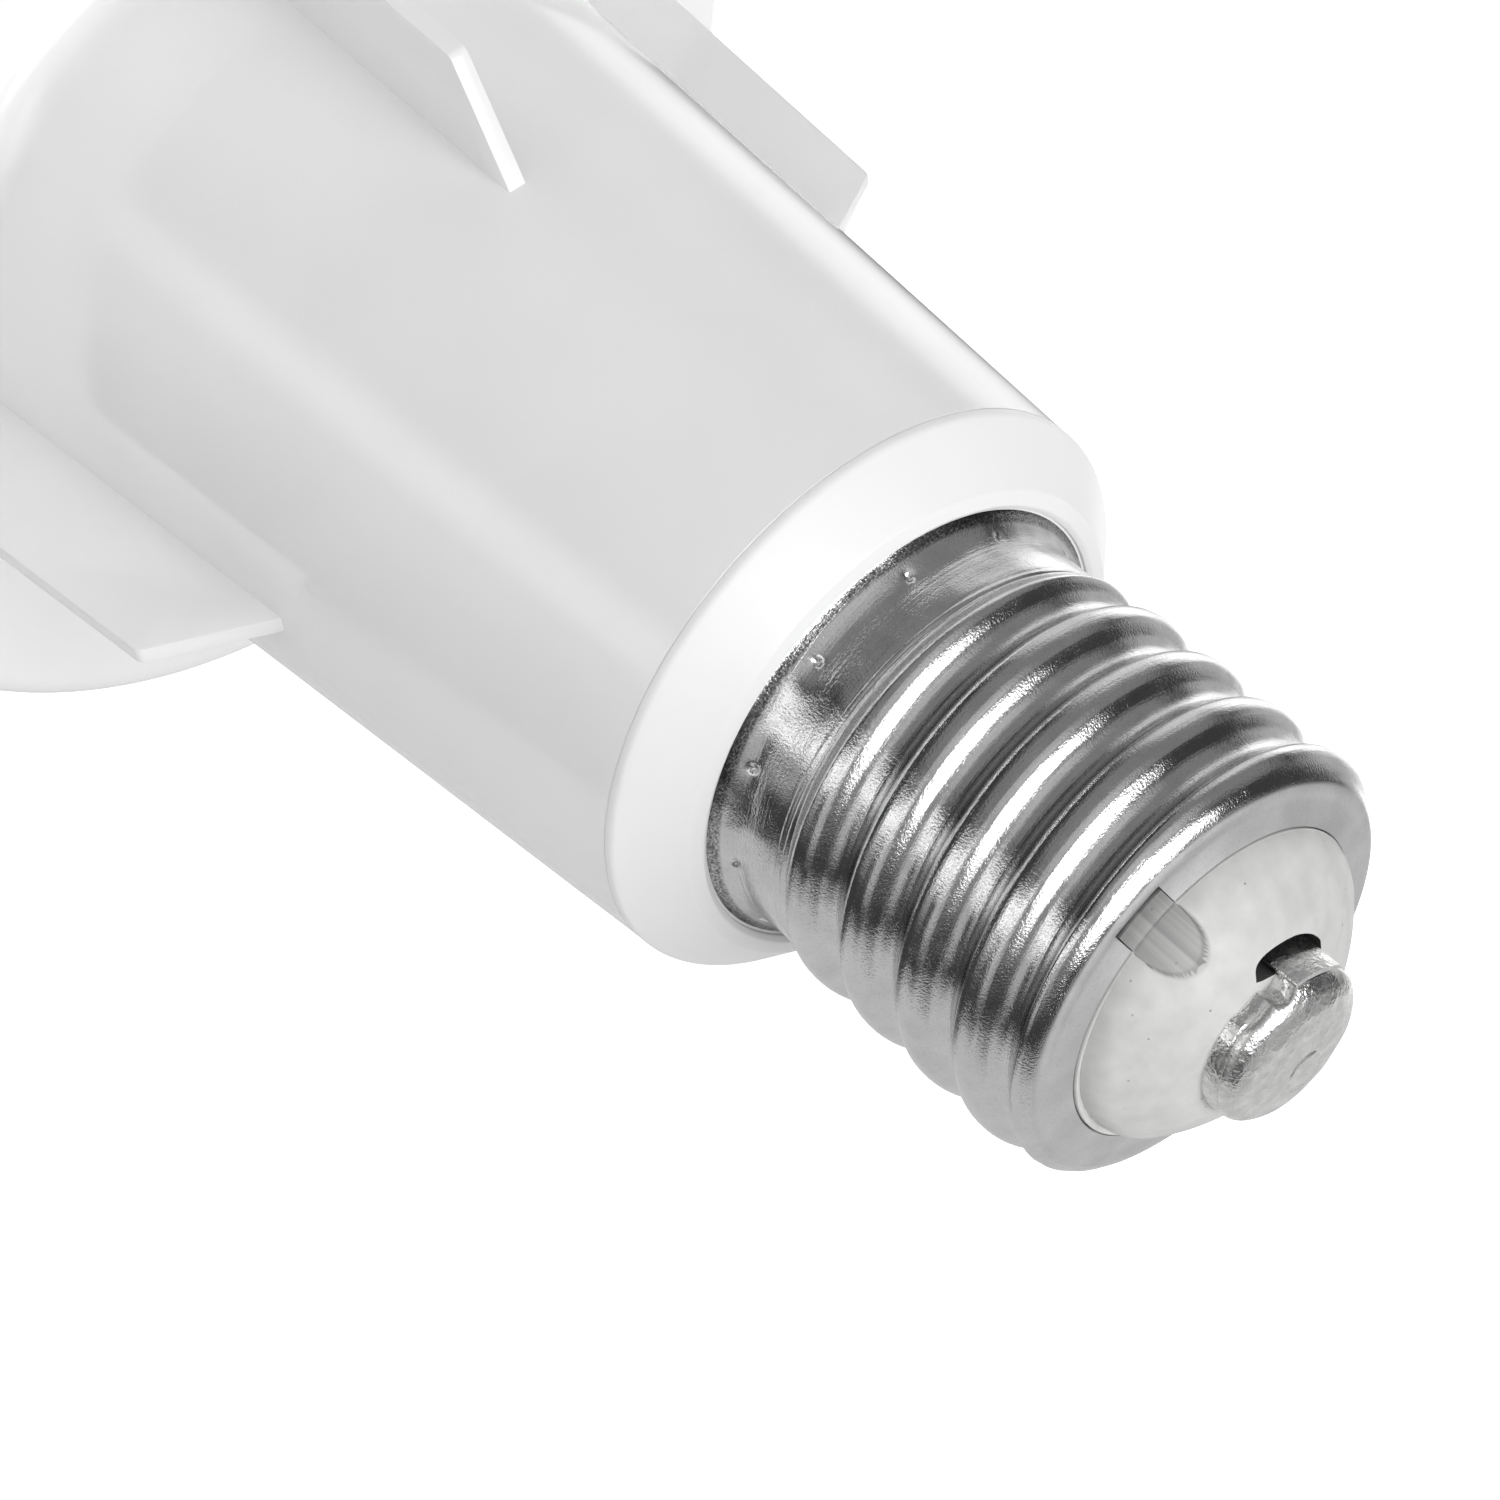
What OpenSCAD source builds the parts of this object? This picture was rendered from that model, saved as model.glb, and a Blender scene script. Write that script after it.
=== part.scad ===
// High power LED bulb on a large screw cap.
// The lamp is drawn standing on its centre contact, and module hang turns it cap up.

/* [Screw cap] */
// Diameter over the thread's crests
thread_d = 39.3; // [39.05:0.05:39.5]
// Distance from one crest to the next
thread_pitch = 6.35; // [6.2:0.05:6.5]
// Depth of the thread from crest to root
thread_depth = 1.8; // [1.6:0.05:1.9]
// Thickness of the rolled sheet
shell_wall = 0.35; // [0.3:0.05:0.45]
// Distance from the contact's face to the cap's flared rim
cap_h = 44.8; // [44:0.2:46]
// Diameter of the flared rim
rim_d = 40.4; // [40:0.1:41]
// Diameter of the plain skirt between rim and thread
skirt_d = 37.4; // [37:0.1:38]
// Length of the plain skirt and its flare
skirt_h = 6.8; // [6:0.2:7.4]
// Length over which the skirt flares out to its rim
flare_h = 3.6; // [3:0.2:4]
// Distance from the contact's face to the turned-in end
shell_end = 10; // [9.6:0.1:10.6]
// Diameter of the hole in the turned-in end
lip_hole_d = 28.8; // [28.6:0.1:29.4]
// Diameter of the contact button
contact_d = 14.2; // [13:0.2:14.6]
// Height of the contact button
contact_h = 3.4; // [3:0.1:3.8]
// Rounding of the contact button's edge
contact_round = 1.2; // [0.8:0.1:1.5]

/* [Collar] */
// Height of the collar that shows between cap and neck
collar_h = 4.7; // [4:0.1:6]
// Height of the raised ring round the cap's rim
ring_rise = 0.6; // [0.3:0.1:0.9]
// Width of the raised ring
ring_w = 1.7; // [1.2:0.1:2.2]

/* [Housing] */
// Diameter of the neck where it meets the collar
neck_d = 53; // [52.5:0.5:56]
// Length of the neck from the collar to the head's shoulder
neck_len = 81.2; // [78:0.2:84]
// Slope of the neck's side away from the axis, in degrees
neck_taper = 4.4; // [4:0.2:5]
// Radius of the hollow between neck and shoulder
neck_fillet = 4; // [3:0.5:6]
// Diameter of the head where its side leaves the shoulder
shoulder_d = 109.4; // [108:0.2:111]
// Rounding of the shoulder's edge
shoulder_round = 3; // [2.4:0.2:4]
// Diameter of the head at its rim
head_d = 118; // [114:1:124]
// Height of the head's tapered side
side_h = 28; // [24:1:34]
// Height of the straight band at the head's rim
head_band = 9; // [8:0.5:12]
// Thickness of the moulded wall
wall = 1.8; // [1.5:0.1:2.2]
// Number of fins in the corner of neck and shoulder
fin_count = 4; // [3:1:6]
// Thickness of a fin
fin_t = 1.7; // [1.4:0.1:2.2]
// Distance from the collar to the foot of a fin
fin_start = 38.9; // [34:0.5:42]
// How far a fin stands out from the neck
fin_reach = 10.4; // [8:0.2:12]
// How far the fin's outer corner lies behind its foot
fin_rake = 5.5; // [3:0.5:8]
// Slope of a fin's outer edge away from the axis, in degrees
fin_slope = 5.6; // [4:0.2:7]
// Rounding of a fin's outer corner
fin_round = 1; // [0.6:0.1:1.5]

/* [Light head] */
// Height of the diffuser above the housing's rim
dome_h = 58; // [50:1:66]
// Thickness of the diffuser
dome_wall = 1.6; // [1.2:0.1:2]
// Thickness of the LED board
led_board_t = 1.6; // [1:0.1:2]
// Side of one LED package
chip_w = 3; // [2.8:0.1:3.5]
// Thickness of the heat spreader's sheet
spreader_t = 1.5; // [1:0.1:2]

/* [Driver] */
// Thickness of the driver's circuit board
board_t = 1.6; // [1.2:0.1:1.8]
// Wall of the insulating sleeve round the driver
sleeve_wall = 1.2; // [1:0.1:1.4]
// Diameter of the smoothing capacitor
input_cap_d = 16; // [12:0.5:16]
// Length of the smoothing capacitor
input_cap_len = 22; // [18:0.5:24]
// Diameter of an insulated lead
lead_d = 1.6; // [1.2:0.1:1.8]

/* [Hidden] */
$fn = 96;

// Cuts run past the face they open by this much
over = 1;
// Clearance between two pieces that slide together
slip = 0.2;

// Turns the standing lamp over, so that it hangs by its cap from the origin
module hang() {
    rotate([180, 0, 0])
        children();
}

// Points of an arc about a centre in the half plane of radius and height
function arc(centre, r, from, to, steps) = [
    for (i = [0 : steps])
        let (a = from + (to - from) * i / steps)
        centre + r * [cos(a), sin(a)]
];

// Screw shell: the radius of its rolled skin at a height and an angle.
// Crest and root are two equal arcs that run into each other a quarter pitch away.
crest_r = thread_d / 2;
root_r = crest_r - thread_depth;
arc_r = (pow(thread_pitch / 2, 2) + pow(thread_depth, 2)) / (4 * thread_depth);
thread_top = cap_h - skirt_h;
// Height of a crest at angle zero above the turned-in end, as a share of the pitch
crest_share = 0.22;
// Length over which the thread fades in below the skirt, as a share of the pitch
fade_share = 0.3;
// Rounding of the turned-in end
curl_w = 2.9;
curl_h = 2.6;
// How far the turned-in end leans out towards its hole
lip_dish = 0.5;
shell_sides = 48;
rows_per_turn = 8;

function mix(from, to, share) = from + (to - from) * share;
function crest_z(a) = shell_end + thread_pitch * (crest_share + a / 360);
function off_crest(z, a) =
    let (turns = (z - crest_z(a)) / thread_pitch)
    thread_pitch * abs(turns - round(turns));
function thread_r(z, a) =
    let (t = off_crest(z, a), u = thread_pitch / 2 - t)
    t < thread_pitch / 4
        ? crest_r - arc_r + sqrt(pow(arc_r, 2) - pow(t, 2))
        : root_r + arc_r - sqrt(pow(arc_r, 2) - pow(u, 2));
function curl_r(z) =
    let (drop_share = max(0, shell_end + curl_h - z) / curl_h)
    crest_r - curl_w * (1 - sqrt(1 - pow(drop_share, 2)));
function skirt_r(z) =
    let (flare_share = max(0, z - (cap_h - flare_h)) / flare_h)
    mix(skirt_d / 2, rim_d / 2, pow(flare_share, 2));
function skin_r(z, a) =
    let (grown_share = min(1, (thread_top - z) / (fade_share * thread_pitch)))
    z >= thread_top
        ? skirt_r(z)
        : min(
            curl_r(z),
            max(
                mix(skirt_d / 2, root_r, grown_share),
                min(mix(skirt_d / 2, crest_r, grown_share), thread_r(z, a))
            )
        );

thread_rows = ceil((thread_top - shell_end) / thread_pitch * rows_per_turn);
row_h = (thread_top - shell_end) / thread_rows;
skirt_rows = 4;
shell_heights = concat(
    [shell_end, shell_end + row_h / 3],
    [for (i = [1 : thread_rows - 1]) shell_end + row_h * i],
    [thread_top, cap_h - flare_h],
    [for (i = [1 : skirt_rows]) cap_h - flare_h * (1 - i / skirt_rows)]
);

// One ring of the skin, moved in by the sheet's thickness for the inner face
function shell_ring(z, inset) = [
    for (k = [0 : shell_sides - 1])
        let (a = 360 * k / shell_sides, r = skin_r(z, a) - inset)
        [r * cos(a), r * sin(a), z]
];
function plain_ring(r, z) = [
    for (k = [0 : shell_sides - 1])
        let (a = 360 * k / shell_sides)
        [r * cos(a), r * sin(a), z]
];

module screw_shell() {
    rows = len(shell_heights);
    rings = concat(
        [plain_ring(lip_hole_d / 2, shell_end - lip_dish)],
        [for (z = shell_heights) shell_ring(z, 0)],
        [for (i = [rows - 1 : -1 : 1]) shell_ring(shell_heights[i], shell_wall)],
        [
            plain_ring(crest_r - curl_w, shell_end + shell_wall),
            plain_ring(lip_hole_d / 2, shell_end - lip_dish + shell_wall)
        ]
    );
    n = len(rings);
    faces = [
        for (j = [0 : n - 1], k = [0 : shell_sides - 1], half = [0, 1])
            let (
                j1 = (j + 1) % n,
                k1 = (k + 1) % shell_sides,
                a = j * shell_sides + k,
                b = j * shell_sides + k1,
                c = j1 * shell_sides + k1,
                d = j1 * shell_sides + k
            )
            half == 0 ? [a, d, b] : [b, d, c]
    ];
    color("silver")
        hang()
            polyhedron(points = [for (ring = rings) each ring], faces = faces, convexity = 12);
}

// Ceramic insulator: a dome that shows, and a flange held behind the turned-in end
dome_rim_r = lip_hole_d / 2 - slip;
dome_rise = 0.8;
dome_edge_z = shell_end - lip_dish - dome_rise;
land_r = contact_d / 2 + slip;
dome_c = (pow(dome_rim_r, 2) + pow(dome_edge_z, 2) - pow(land_r, 2) - pow(contact_h, 2))
    / (2 * (dome_edge_z - contact_h));
dome_r = norm([dome_rim_r, dome_c - dome_edge_z]);
flange_r = root_r - shell_wall - 1.5 * slip;
flange_z = shell_end + shell_wall + slip;
flange_t = 3;
insulator_h = 16.5;
insulator_bore_r = 11;
insulator_floor = 5;
// The slot beside the contact lets the strap through
slot_angle = 20;
slot_w = 7.2;
slot_reach = 1.5;
slot_depth = 2.2;
// A shallow moulded pocket at the dome's edge
pocket_angle = -25.5;
pocket_w = 4.8;
pocket_len = 3;
pocket_depth = 0.7;

module dome_profile() {
    a_edge = atan2(dome_edge_z - dome_c, dome_rim_r);
    a_land = atan2(contact_h - dome_c, land_r);
    polygon(concat(
        [[0, contact_h]],
        arc([0, dome_c], dome_r, a_land, a_edge, 12),
        [
            [dome_rim_r, flange_z],
            [flange_r, flange_z],
            [flange_r, flange_z + flange_t],
            [dome_rim_r, flange_z + flange_t],
            [dome_rim_r, insulator_h],
            [insulator_bore_r, insulator_h],
            [insulator_bore_r, contact_h + insulator_floor],
            [0, contact_h + insulator_floor]
        ]
    ));
}

module cap_insulator() {
    slot_out = contact_d / 2 + slot_reach;
    color("gainsboro")
        hang()
            difference() {
                rotate_extrude()
                    dome_profile();
                rotate(slot_angle)
                    translate([slot_out - slot_depth, -slot_w / 2, 0])
                        cube([slot_depth, slot_w, insulator_h]);
                rotate(pocket_angle)
                    difference() {
                        translate([dome_rim_r - pocket_len + pocket_w / 2, 0, 0])
                            union() {
                                cylinder(d = pocket_w, h = dome_edge_z + pocket_depth);
                                translate([0, -pocket_w / 2, 0])
                                    cube([pocket_len, pocket_w, dome_edge_z + pocket_depth]);
                            }
                        translate([0, 0, dome_c])
                            sphere(r = dome_r - pocket_depth);
                    }
            }
}

// Centre contact: a soldered button with a notch where the strap comes up
notch_angle = 3;
notch_w = 2.6;
notch_depth = 1.6;

module centre_contact() {
    rim = contact_d / 2;
    color("darkgray")
        hang()
            difference() {
                rotate_extrude()
                    polygon(concat(
                        [[0, 0]],
                        arc([rim - contact_round, contact_round], contact_round, -90, 0, 6),
                        [[rim, contact_h], [0, contact_h]]
                    ));
                rotate(notch_angle)
                    translate([rim - notch_depth, 0, -over])
                        rotate(-45)
                            cube([notch_w, notch_w, contact_h + 2 * over]);
            }
}

// Strap bent from sheet: soldered to the contact's side, it leans out and runs down through the
// slot to the live lead
strap_angle = 27;
strap_w = 5;
strap_t = 0.5;
strap_len = 11.6;
strap_seat_h = 0.9;
strap_bend_h = 2.4;
strap_lean = 0.6;
strap_top = contact_round + strap_t;
strap_in_r = contact_d / 2 + strap_lean;

// Outline of one face of the strap, in the half plane of radius and height
function strap_line(offset) = [
    [contact_d / 2 + offset, strap_top],
    [contact_d / 2 + offset, strap_top + strap_seat_h],
    [strap_in_r + offset, strap_top + strap_seat_h + strap_bend_h],
    [strap_in_r + offset, strap_top + strap_len]
];
function flip(points) = [for (i = [len(points) - 1 : -1 : 0]) points[i]];

module contact_strap() {
    color("silver")
        hang()
            rotate(strap_angle)
                rotate([90, 0, 0])
                    linear_extrude(strap_w, center = true)
                        polygon(concat(strap_line(0), flip(strap_line(strap_t))));
}

// Collar: closes the neck, carries the cap on a spigot and plugs into the housing
neck_z = cap_h + collar_h;
neck_r0 = neck_d / 2;
neck_bore_r0 = neck_r0 - wall;
ring_in_r = max(rim_d / 2, skirt_r(cap_h - ring_rise)) + slip;
ring_out_r = ring_in_r + ring_w;
collar_edge = 0.9;
spigot_r = min(root_r, skirt_d / 2) - shell_wall - 1.5 * slip;
spigot_shoulder_r = min(skirt_d, rim_d) / 2 - shell_wall - slip;
spigot_wall = 2;
spigot_h = 10.8;
plug_r = neck_bore_r0 - slip;
plug_wall = 3.4;
plug_h = 7;
plug_top = neck_z + plug_h;

module collar_profile() {
    polygon(concat(
        [
            [spigot_r - spigot_wall, cap_h - spigot_h],
            [spigot_r, cap_h - spigot_h],
            [spigot_r, thread_top - fade_share * thread_pitch],
            [spigot_shoulder_r, thread_top + spigot_wall],
            [spigot_shoulder_r, cap_h - flare_h],
            [spigot_shoulder_r, cap_h],
            [ring_in_r, cap_h],
            [ring_in_r, cap_h - ring_rise / 2],
            [mix(ring_in_r, ring_out_r, 0.3), cap_h - ring_rise],
            [ring_out_r, cap_h - ring_rise / 2],
            [ring_out_r + ring_rise, cap_h + ring_rise]
        ],
        arc([neck_r0 - collar_edge, neck_z - collar_edge], collar_edge, -50, 0, 4),
        [
            [neck_r0, neck_z],
            [plug_r, neck_z],
            [plug_r, plug_top],
            [plug_r - plug_wall, plug_top],
            [plug_r - plug_wall, neck_z],
            [spigot_r - spigot_wall, neck_z - spigot_wall]
        ]
    ));
}

module collar() {
    color("white")
        hang()
            difference() {
                rotate_extrude()
                    collar_profile();
                // Slot where the neutral lead is clamped against the cap
                translate([spigot_r - spigot_wall - over, -lead_d / 2, cap_h - spigot_h - over])
                    cube([spigot_wall + 2 * over, lead_d, spigot_h + over]);
            }
}

// Housing: neck, flat shoulder, tapered side and rim in one moulding, with fins in the corner
// of neck and shoulder
neck_slope = tan(neck_taper);
shoulder_z = neck_z + neck_len;
head_r = head_d / 2;
head_z = shoulder_z + side_h;
rim_z = head_z + head_band;
fillet_centre = [
    neck_r0 + (neck_len - neck_fillet) * neck_slope + neck_fillet / cos(neck_taper),
    shoulder_z - neck_fillet
];
edge_centre = [shoulder_d / 2 - shoulder_round, shoulder_z + shoulder_round];
// Angle at which the side leaves the rounded edge, so that it runs straight to the rim's band
edge_to_band = [head_r, head_z] - edge_centre;
side_angle = acos(shoulder_round / norm(edge_to_band)) - atan2(edge_to_band[1], edge_to_band[0]);

// Half outline of the head above its shoulder, at a depth below the outer face
function side_line(depth) = concat(
    arc(edge_centre, shoulder_round - depth, -90, -side_angle, 6),
    [[head_r - depth, head_z]]
);
// Half outline of the moulding at a depth below its outer face
function housing_line(depth) = concat(
    [[neck_r0 - depth, neck_z]],
    arc(fillet_centre, neck_fillet + depth, 180 - neck_taper, 90, 8),
    side_line(depth),
    [[head_r - depth, rim_z]]
);
function neck_r(z) = neck_r0 + (z - neck_z) * neck_slope;

fin_foot_z = neck_z + fin_start;
fin_corner = [neck_r(fin_foot_z + fin_rake) + fin_reach, fin_foot_z + fin_rake];
fin_far_z = shoulder_z + wall / 2;

module fin_profile() {
    foot = [neck_r(fin_foot_z), fin_foot_z];
    edge_dir = [sin(fin_slope), cos(fin_slope)];
    end_dir = (foot - fin_corner) / norm(foot - fin_corner);
    far = fin_corner + edge_dir * ((fin_far_z - fin_corner[1]) / edge_dir[1]);
    round_in = fin_round * (edge_dir + end_dir);
    polygon([
        foot - [wall / 2, 0],
        foot,
        fin_corner + fin_round * end_dir,
        fin_corner + 0.3 * round_in,
        fin_corner + fin_round * edge_dir,
        far,
        [neck_r0, fin_far_z]
    ]);
}

module housing() {
    color("whitesmoke")
        hang()
            difference() {
                union() {
                    rotate_extrude()
                        polygon(concat([[0, neck_z]], housing_line(0), [[0, rim_z]]));
                    for (i = [0 : fin_count - 1])
                        rotate(360 * i / fin_count)
                            rotate([90, 0, 0])
                                linear_extrude(fin_t, center = true)
                                    fin_profile();
                }
                rotate_extrude()
                    polygon(concat(
                        [[0, neck_z - over], [neck_bore_r0, neck_z - over]],
                        housing_line(wall),
                        [[head_r - wall, rim_z + over], [0, rim_z + over]]
                    ));
            }
}

// Heat spreader: a spun aluminium cup that stands on the shoulder's inner face, with a land for
// the LED board
spreader_r = head_r - wall - slip;
spreader_foot_w = 10;
land_w = 12;
land_depth = 4.8;
land_z = rim_z - land_depth;
floor_z = shoulder_z + wall;
function spreader_line(depth) = [
    [edge_centre[0] - depth, floor_z + depth],
    [edge_centre[0] + shoulder_round / 4 - depth, floor_z + shoulder_round / 2],
    [spreader_r - depth, head_z]
];

screw_count = 6;
screw_d = 3;
screw_len = 5;
screw_head_d = 5.6;
screw_head_h = 2;
screw_ring_r = spreader_r - land_w + screw_head_d / 2 + slip;
module at_screws() {
    for (i = [0 : screw_count - 1])
        rotate(360 * (i + 0.5) / screw_count)
            translate([screw_ring_r, 0, 0])
                children();
}

module heat_spreader() {
    color("lightgray")
        hang()
            difference() {
                rotate_extrude()
                    polygon(concat(
                        [[edge_centre[0] - spreader_foot_w, floor_z]],
                        spreader_line(0),
                        [
                            [spreader_r, land_z],
                            [spreader_r - land_w, land_z],
                            [spreader_r - land_w, land_z - spreader_t],
                            [spreader_r - spreader_t, land_z - spreader_t]
                        ],
                        flip(spreader_line(spreader_t)),
                        [[edge_centre[0] - spreader_foot_w, floor_z + spreader_t]]
                    ));
                at_screws()
                    translate([0, 0, land_z - spreader_t - over])
                        cylinder(d = screw_d + slip / 2, h = spreader_t + 2 * over);
            }
}

// Thermal paste: a thin ring between the spreader's land and the LED board
paste_t = 0.2;
led_board_r = spreader_r - dome_wall - 2 * slip;
led_board_z = land_z + paste_t;
led_top = led_board_z + led_board_t;

module thermal_paste() {
    color("lightslategray")
        hang()
            translate([0, 0, land_z])
                difference() {
                    cylinder(r = led_board_r, h = paste_t);
                    translate([0, 0, -over])
                        cylinder(r = spreader_r - land_w, h = paste_t + 2 * over);
                    at_screws()
                        translate([0, 0, -over])
                            cylinder(d = screw_d + slip, h = paste_t + 2 * over);
                }
}

// LED board: an aluminium disc with screw holes and a hole for the leads
lead_hole_d = 7;
connector_w = 7;
connector_len = 8;
connector_h = 4;
lead_hole_x = connector_len / 2 + lead_hole_d / 2 + lead_d;

module led_board() {
    color("white")
        hang()
            translate([0, 0, led_board_z])
                difference() {
                    cylinder(r = led_board_r, h = led_board_t);
                    at_screws()
                        translate([0, 0, -over])
                            cylinder(d = screw_d + slip, h = led_board_t + 2 * over);
                    translate([lead_hole_x, 0, -over])
                        cylinder(d = lead_hole_d, h = led_board_t + 2 * over);
                }
}

// LED packages in rings round the connector
chip_h = 0.7;
chip_rings = 3;
chips_per_ring = 7;
chip_step = led_board_r / (chip_rings + 1.4);

module led_chips() {
    color("khaki")
        hang()
            for (ring = [1 : chip_rings], i = [0 : chips_per_ring * ring - 1])
                rotate(360 * (i + 0.5) / (chips_per_ring * ring))
                    translate([chip_step * (ring + 0.4) - chip_w / 2, -chip_w / 2, led_top])
                        cube([chip_w, chip_w, chip_h]);
}

// Pan-head screws that press the LED board on the spreader's land
module board_screws() {
    color("silver")
        hang()
            at_screws()
                translate([0, 0, led_top])
                    union() {
                        cylinder(d = screw_head_d, h = screw_head_h);
                        translate([0, 0, -screw_len])
                            cylinder(d = screw_d, h = screw_len + screw_head_h / 2);
                    }
}

// Connector in the middle of the LED board, open towards the lead hole
module board_connector() {
    shell_t = connector_h / 5;
    color("ivory")
        hang()
            difference() {
                translate([-connector_len / 2, -connector_w / 2, led_top])
                    cube([connector_len, connector_w, connector_h]);
                for (side = [-1, 1])
                    translate([0, side * lead_pitch / 2, led_top + connector_h / 2])
                        rotate([0, 90, 0])
                            cylinder(d = lead_d + 2 * slip, h = connector_len, $fn = 32);
            }
}

// Diffuser: an opal dome that plugs into the housing's rim and sits on its edge
plug_dome_r = head_r - wall - slip;
seal_t = 0.6;
dome_base_r = head_r - wall / 4;
dome_z = rim_z + seal_t;
// Height of the dome's straight foot, and the power of its superellipse
dome_foot_h = 10;
dome_power = 2.4;
function dome_line(depth) = [
    for (i = [0 : 20])
        let (a = 90 * i / 20)
        [
            (dome_base_r - depth) * pow(cos(a), 2 / dome_power),
            dome_z + dome_foot_h + (dome_h - dome_foot_h - depth) * pow(sin(a), 2 / dome_power)
        ]
];

module diffuser() {
    color("white")
        hang()
            rotate_extrude()
                polygon(concat(
                    [
                        [plug_dome_r - dome_wall, land_z],
                        [plug_dome_r, land_z],
                        [plug_dome_r, dome_z],
                        [dome_base_r, dome_z]
                    ],
                    dome_line(0),
                    flip(dome_line(dome_wall)),
                    [[dome_base_r - dome_wall, dome_z + dome_wall / 2]]
                ));
}

// Silicone bead between the housing's rim and the diffuser's shoulder
module diffuser_seal() {
    color("lightgray")
        hang()
            translate([0, 0, rim_z])
                difference() {
                    cylinder(r = dome_base_r, h = seal_t);
                    translate([0, 0, -over])
                        cylinder(r = plug_dome_r, h = seal_t + 2 * over);
                }
}

// Driver sleeve: an insulating tube that stands on the collar's plug, with rails for the board
sleeve_r = plug_r;
sleeve_bore_r = sleeve_r - sleeve_wall;
part_gap = 1;
rail_w = 1;
rail_reach = 3;
board_front = -0.26 * sleeve_bore_r;
board_back = board_front - board_t;
board_half_w = sqrt(pow(sleeve_bore_r - slip, 2) - pow(board_back, 2)) - slip;
board_z = plug_top;

// Sizes of the parts on the board: width across it, length along it, height above it
fuse_d = 5;
fuse_len = 9;
varistor_d = 10;
varistor_t = 4;
film_w = 6;
film_len = 7;
film_h = 11;
choke_d = 14;
choke_bore = 7;
choke_h = 6;
choke_wire_t = 0.8;
choke_winding_start = 25;
choke_winding_sweep = 130;
switch_w = 10;
switch_t = 4.5;
switch_h = 15;
sink_w = 14;
sink_t = 1.5;
sink_h = 18;
core_w = 20;
core_len = 12;
core_h = 17;
core_plate = 3.5;
core_side_w = 2.9;
core_leg_d = 7;
output_cap_d = 10;
output_cap_h = 15;

// The left column runs up the board from fuse to transformer, the right one from choke to capacitor
left_x = -0.38 * board_half_w;
right_x = 0.5 * board_half_w;
fuse_x = left_x - varistor_d / 2 + fuse_d / 2;
film_x = fuse_x + fuse_d / 2 + part_gap;
// The neutral lead comes up between film capacitor and choke
lane_x = (film_x + film_w + right_x - choke_d / 2) / 2;
fuse_z = board_z + 3 * part_gap;
varistor_z = fuse_z + fuse_len + part_gap;
sink_z = varistor_z + varistor_t + 2 * part_gap;
switch_z = sink_z + sink_t;
core_z = switch_z + switch_t + 2 * part_gap;
choke_z = fuse_z + choke_d / 2;
input_cap_z = choke_z + choke_d / 2 + part_gap;
output_cap_z = input_cap_z + input_cap_len + part_gap + output_cap_d / 2;
board_len = max(core_z + core_len, output_cap_z + output_cap_d / 2) + 2 * part_gap - board_z;
sleeve_top = board_z + board_len + part_gap;

module driver_sleeve() {
    rail_x = board_half_w - rail_reach;
    color("ivory")
        hang()
            translate([0, 0, board_z])
                union() {
                    difference() {
                        cylinder(r = sleeve_r, h = sleeve_top - board_z);
                        translate([0, 0, -over])
                            cylinder(r = sleeve_bore_r, h = sleeve_top - board_z + 2 * over);
                    }
                    intersection() {
                        cylinder(r = sleeve_bore_r + sleeve_wall / 2, h = board_len);
                        union() {
                            for (side = [-1, 1], y = [board_front + slip, board_back - slip - rail_w])
                                translate([side > 0 ? rail_x : -rail_x - sleeve_r, y, 0])
                                    cube([sleeve_r, rail_w, board_len]);
                        }
                    }
                }
}

// Lid of the sleeve, with a hole for the leads to the LED board
lid_t = 1.5;
lid_hole_d = 8;

module sleeve_lid() {
    color("ivory")
        hang()
            translate([0, 0, sleeve_top])
                difference() {
                    cylinder(r = sleeve_r, h = lid_t);
                    translate([0, 0, -over])
                        cylinder(d = lid_hole_d, h = lid_t + 2 * over);
                }
}

module driver_board() {
    color("seagreen")
        hang()
            translate([-board_half_w, board_back, board_z])
                cube([2 * board_half_w, board_t, board_len]);
}

module line_fuse() {
    cap_len_share = 0.2;
    color("silver")
        hang()
            translate([fuse_x, board_front + fuse_d / 2, fuse_z])
                union() {
                    cylinder(d = fuse_d, h = fuse_len * cap_len_share);
                    cylinder(d = 0.9 * fuse_d, h = fuse_len);
                    translate([0, 0, fuse_len * (1 - cap_len_share)])
                        cylinder(d = fuse_d, h = fuse_len * cap_len_share);
                }
}

module surge_varistor() {
    color("royalblue")
        hang()
            translate([left_x, board_front + varistor_d / 2, varistor_z])
                cylinder(d = varistor_d, h = varistor_t);
}

module film_capacitor() {
    color("gold")
        hang()
            translate([film_x, board_front, fuse_z + (fuse_len - film_len) / 2])
                cube([film_w, film_h, film_len]);
}

// Toroid choke lying on the board, with two windings
module choke_core() {
    color("darkslategray")
        hang()
            translate([right_x, board_front + choke_wire_t, choke_z])
                rotate([-90, 0, 0])
                    difference() {
                        cylinder(d = choke_d - 2 * choke_wire_t, h = choke_h);
                        translate([0, 0, -over])
                            cylinder(d = choke_bore, h = choke_h + 2 * over);
                    }
}

module choke_winding() {
    core_w2 = (choke_d - 2 * choke_wire_t - choke_bore) / 2;
    inner_r = choke_bore / 2;
    color("darkorange")
        hang()
            translate([right_x, board_front, choke_z])
                rotate([-90, 0, 0])
                    for (side = [0, 1])
                        rotate(180 * side + choke_winding_start)
                            rotate_extrude(angle = choke_winding_sweep)
                                difference() {
                                    translate([inner_r - choke_wire_t, 0])
                                        square([core_w2 + 2 * choke_wire_t, choke_h + 2 * choke_wire_t]);
                                    translate([inner_r - slip / 2, choke_wire_t - slip / 2])
                                        square([core_w2 + slip, choke_h + slip]);
                                }
}

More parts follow.
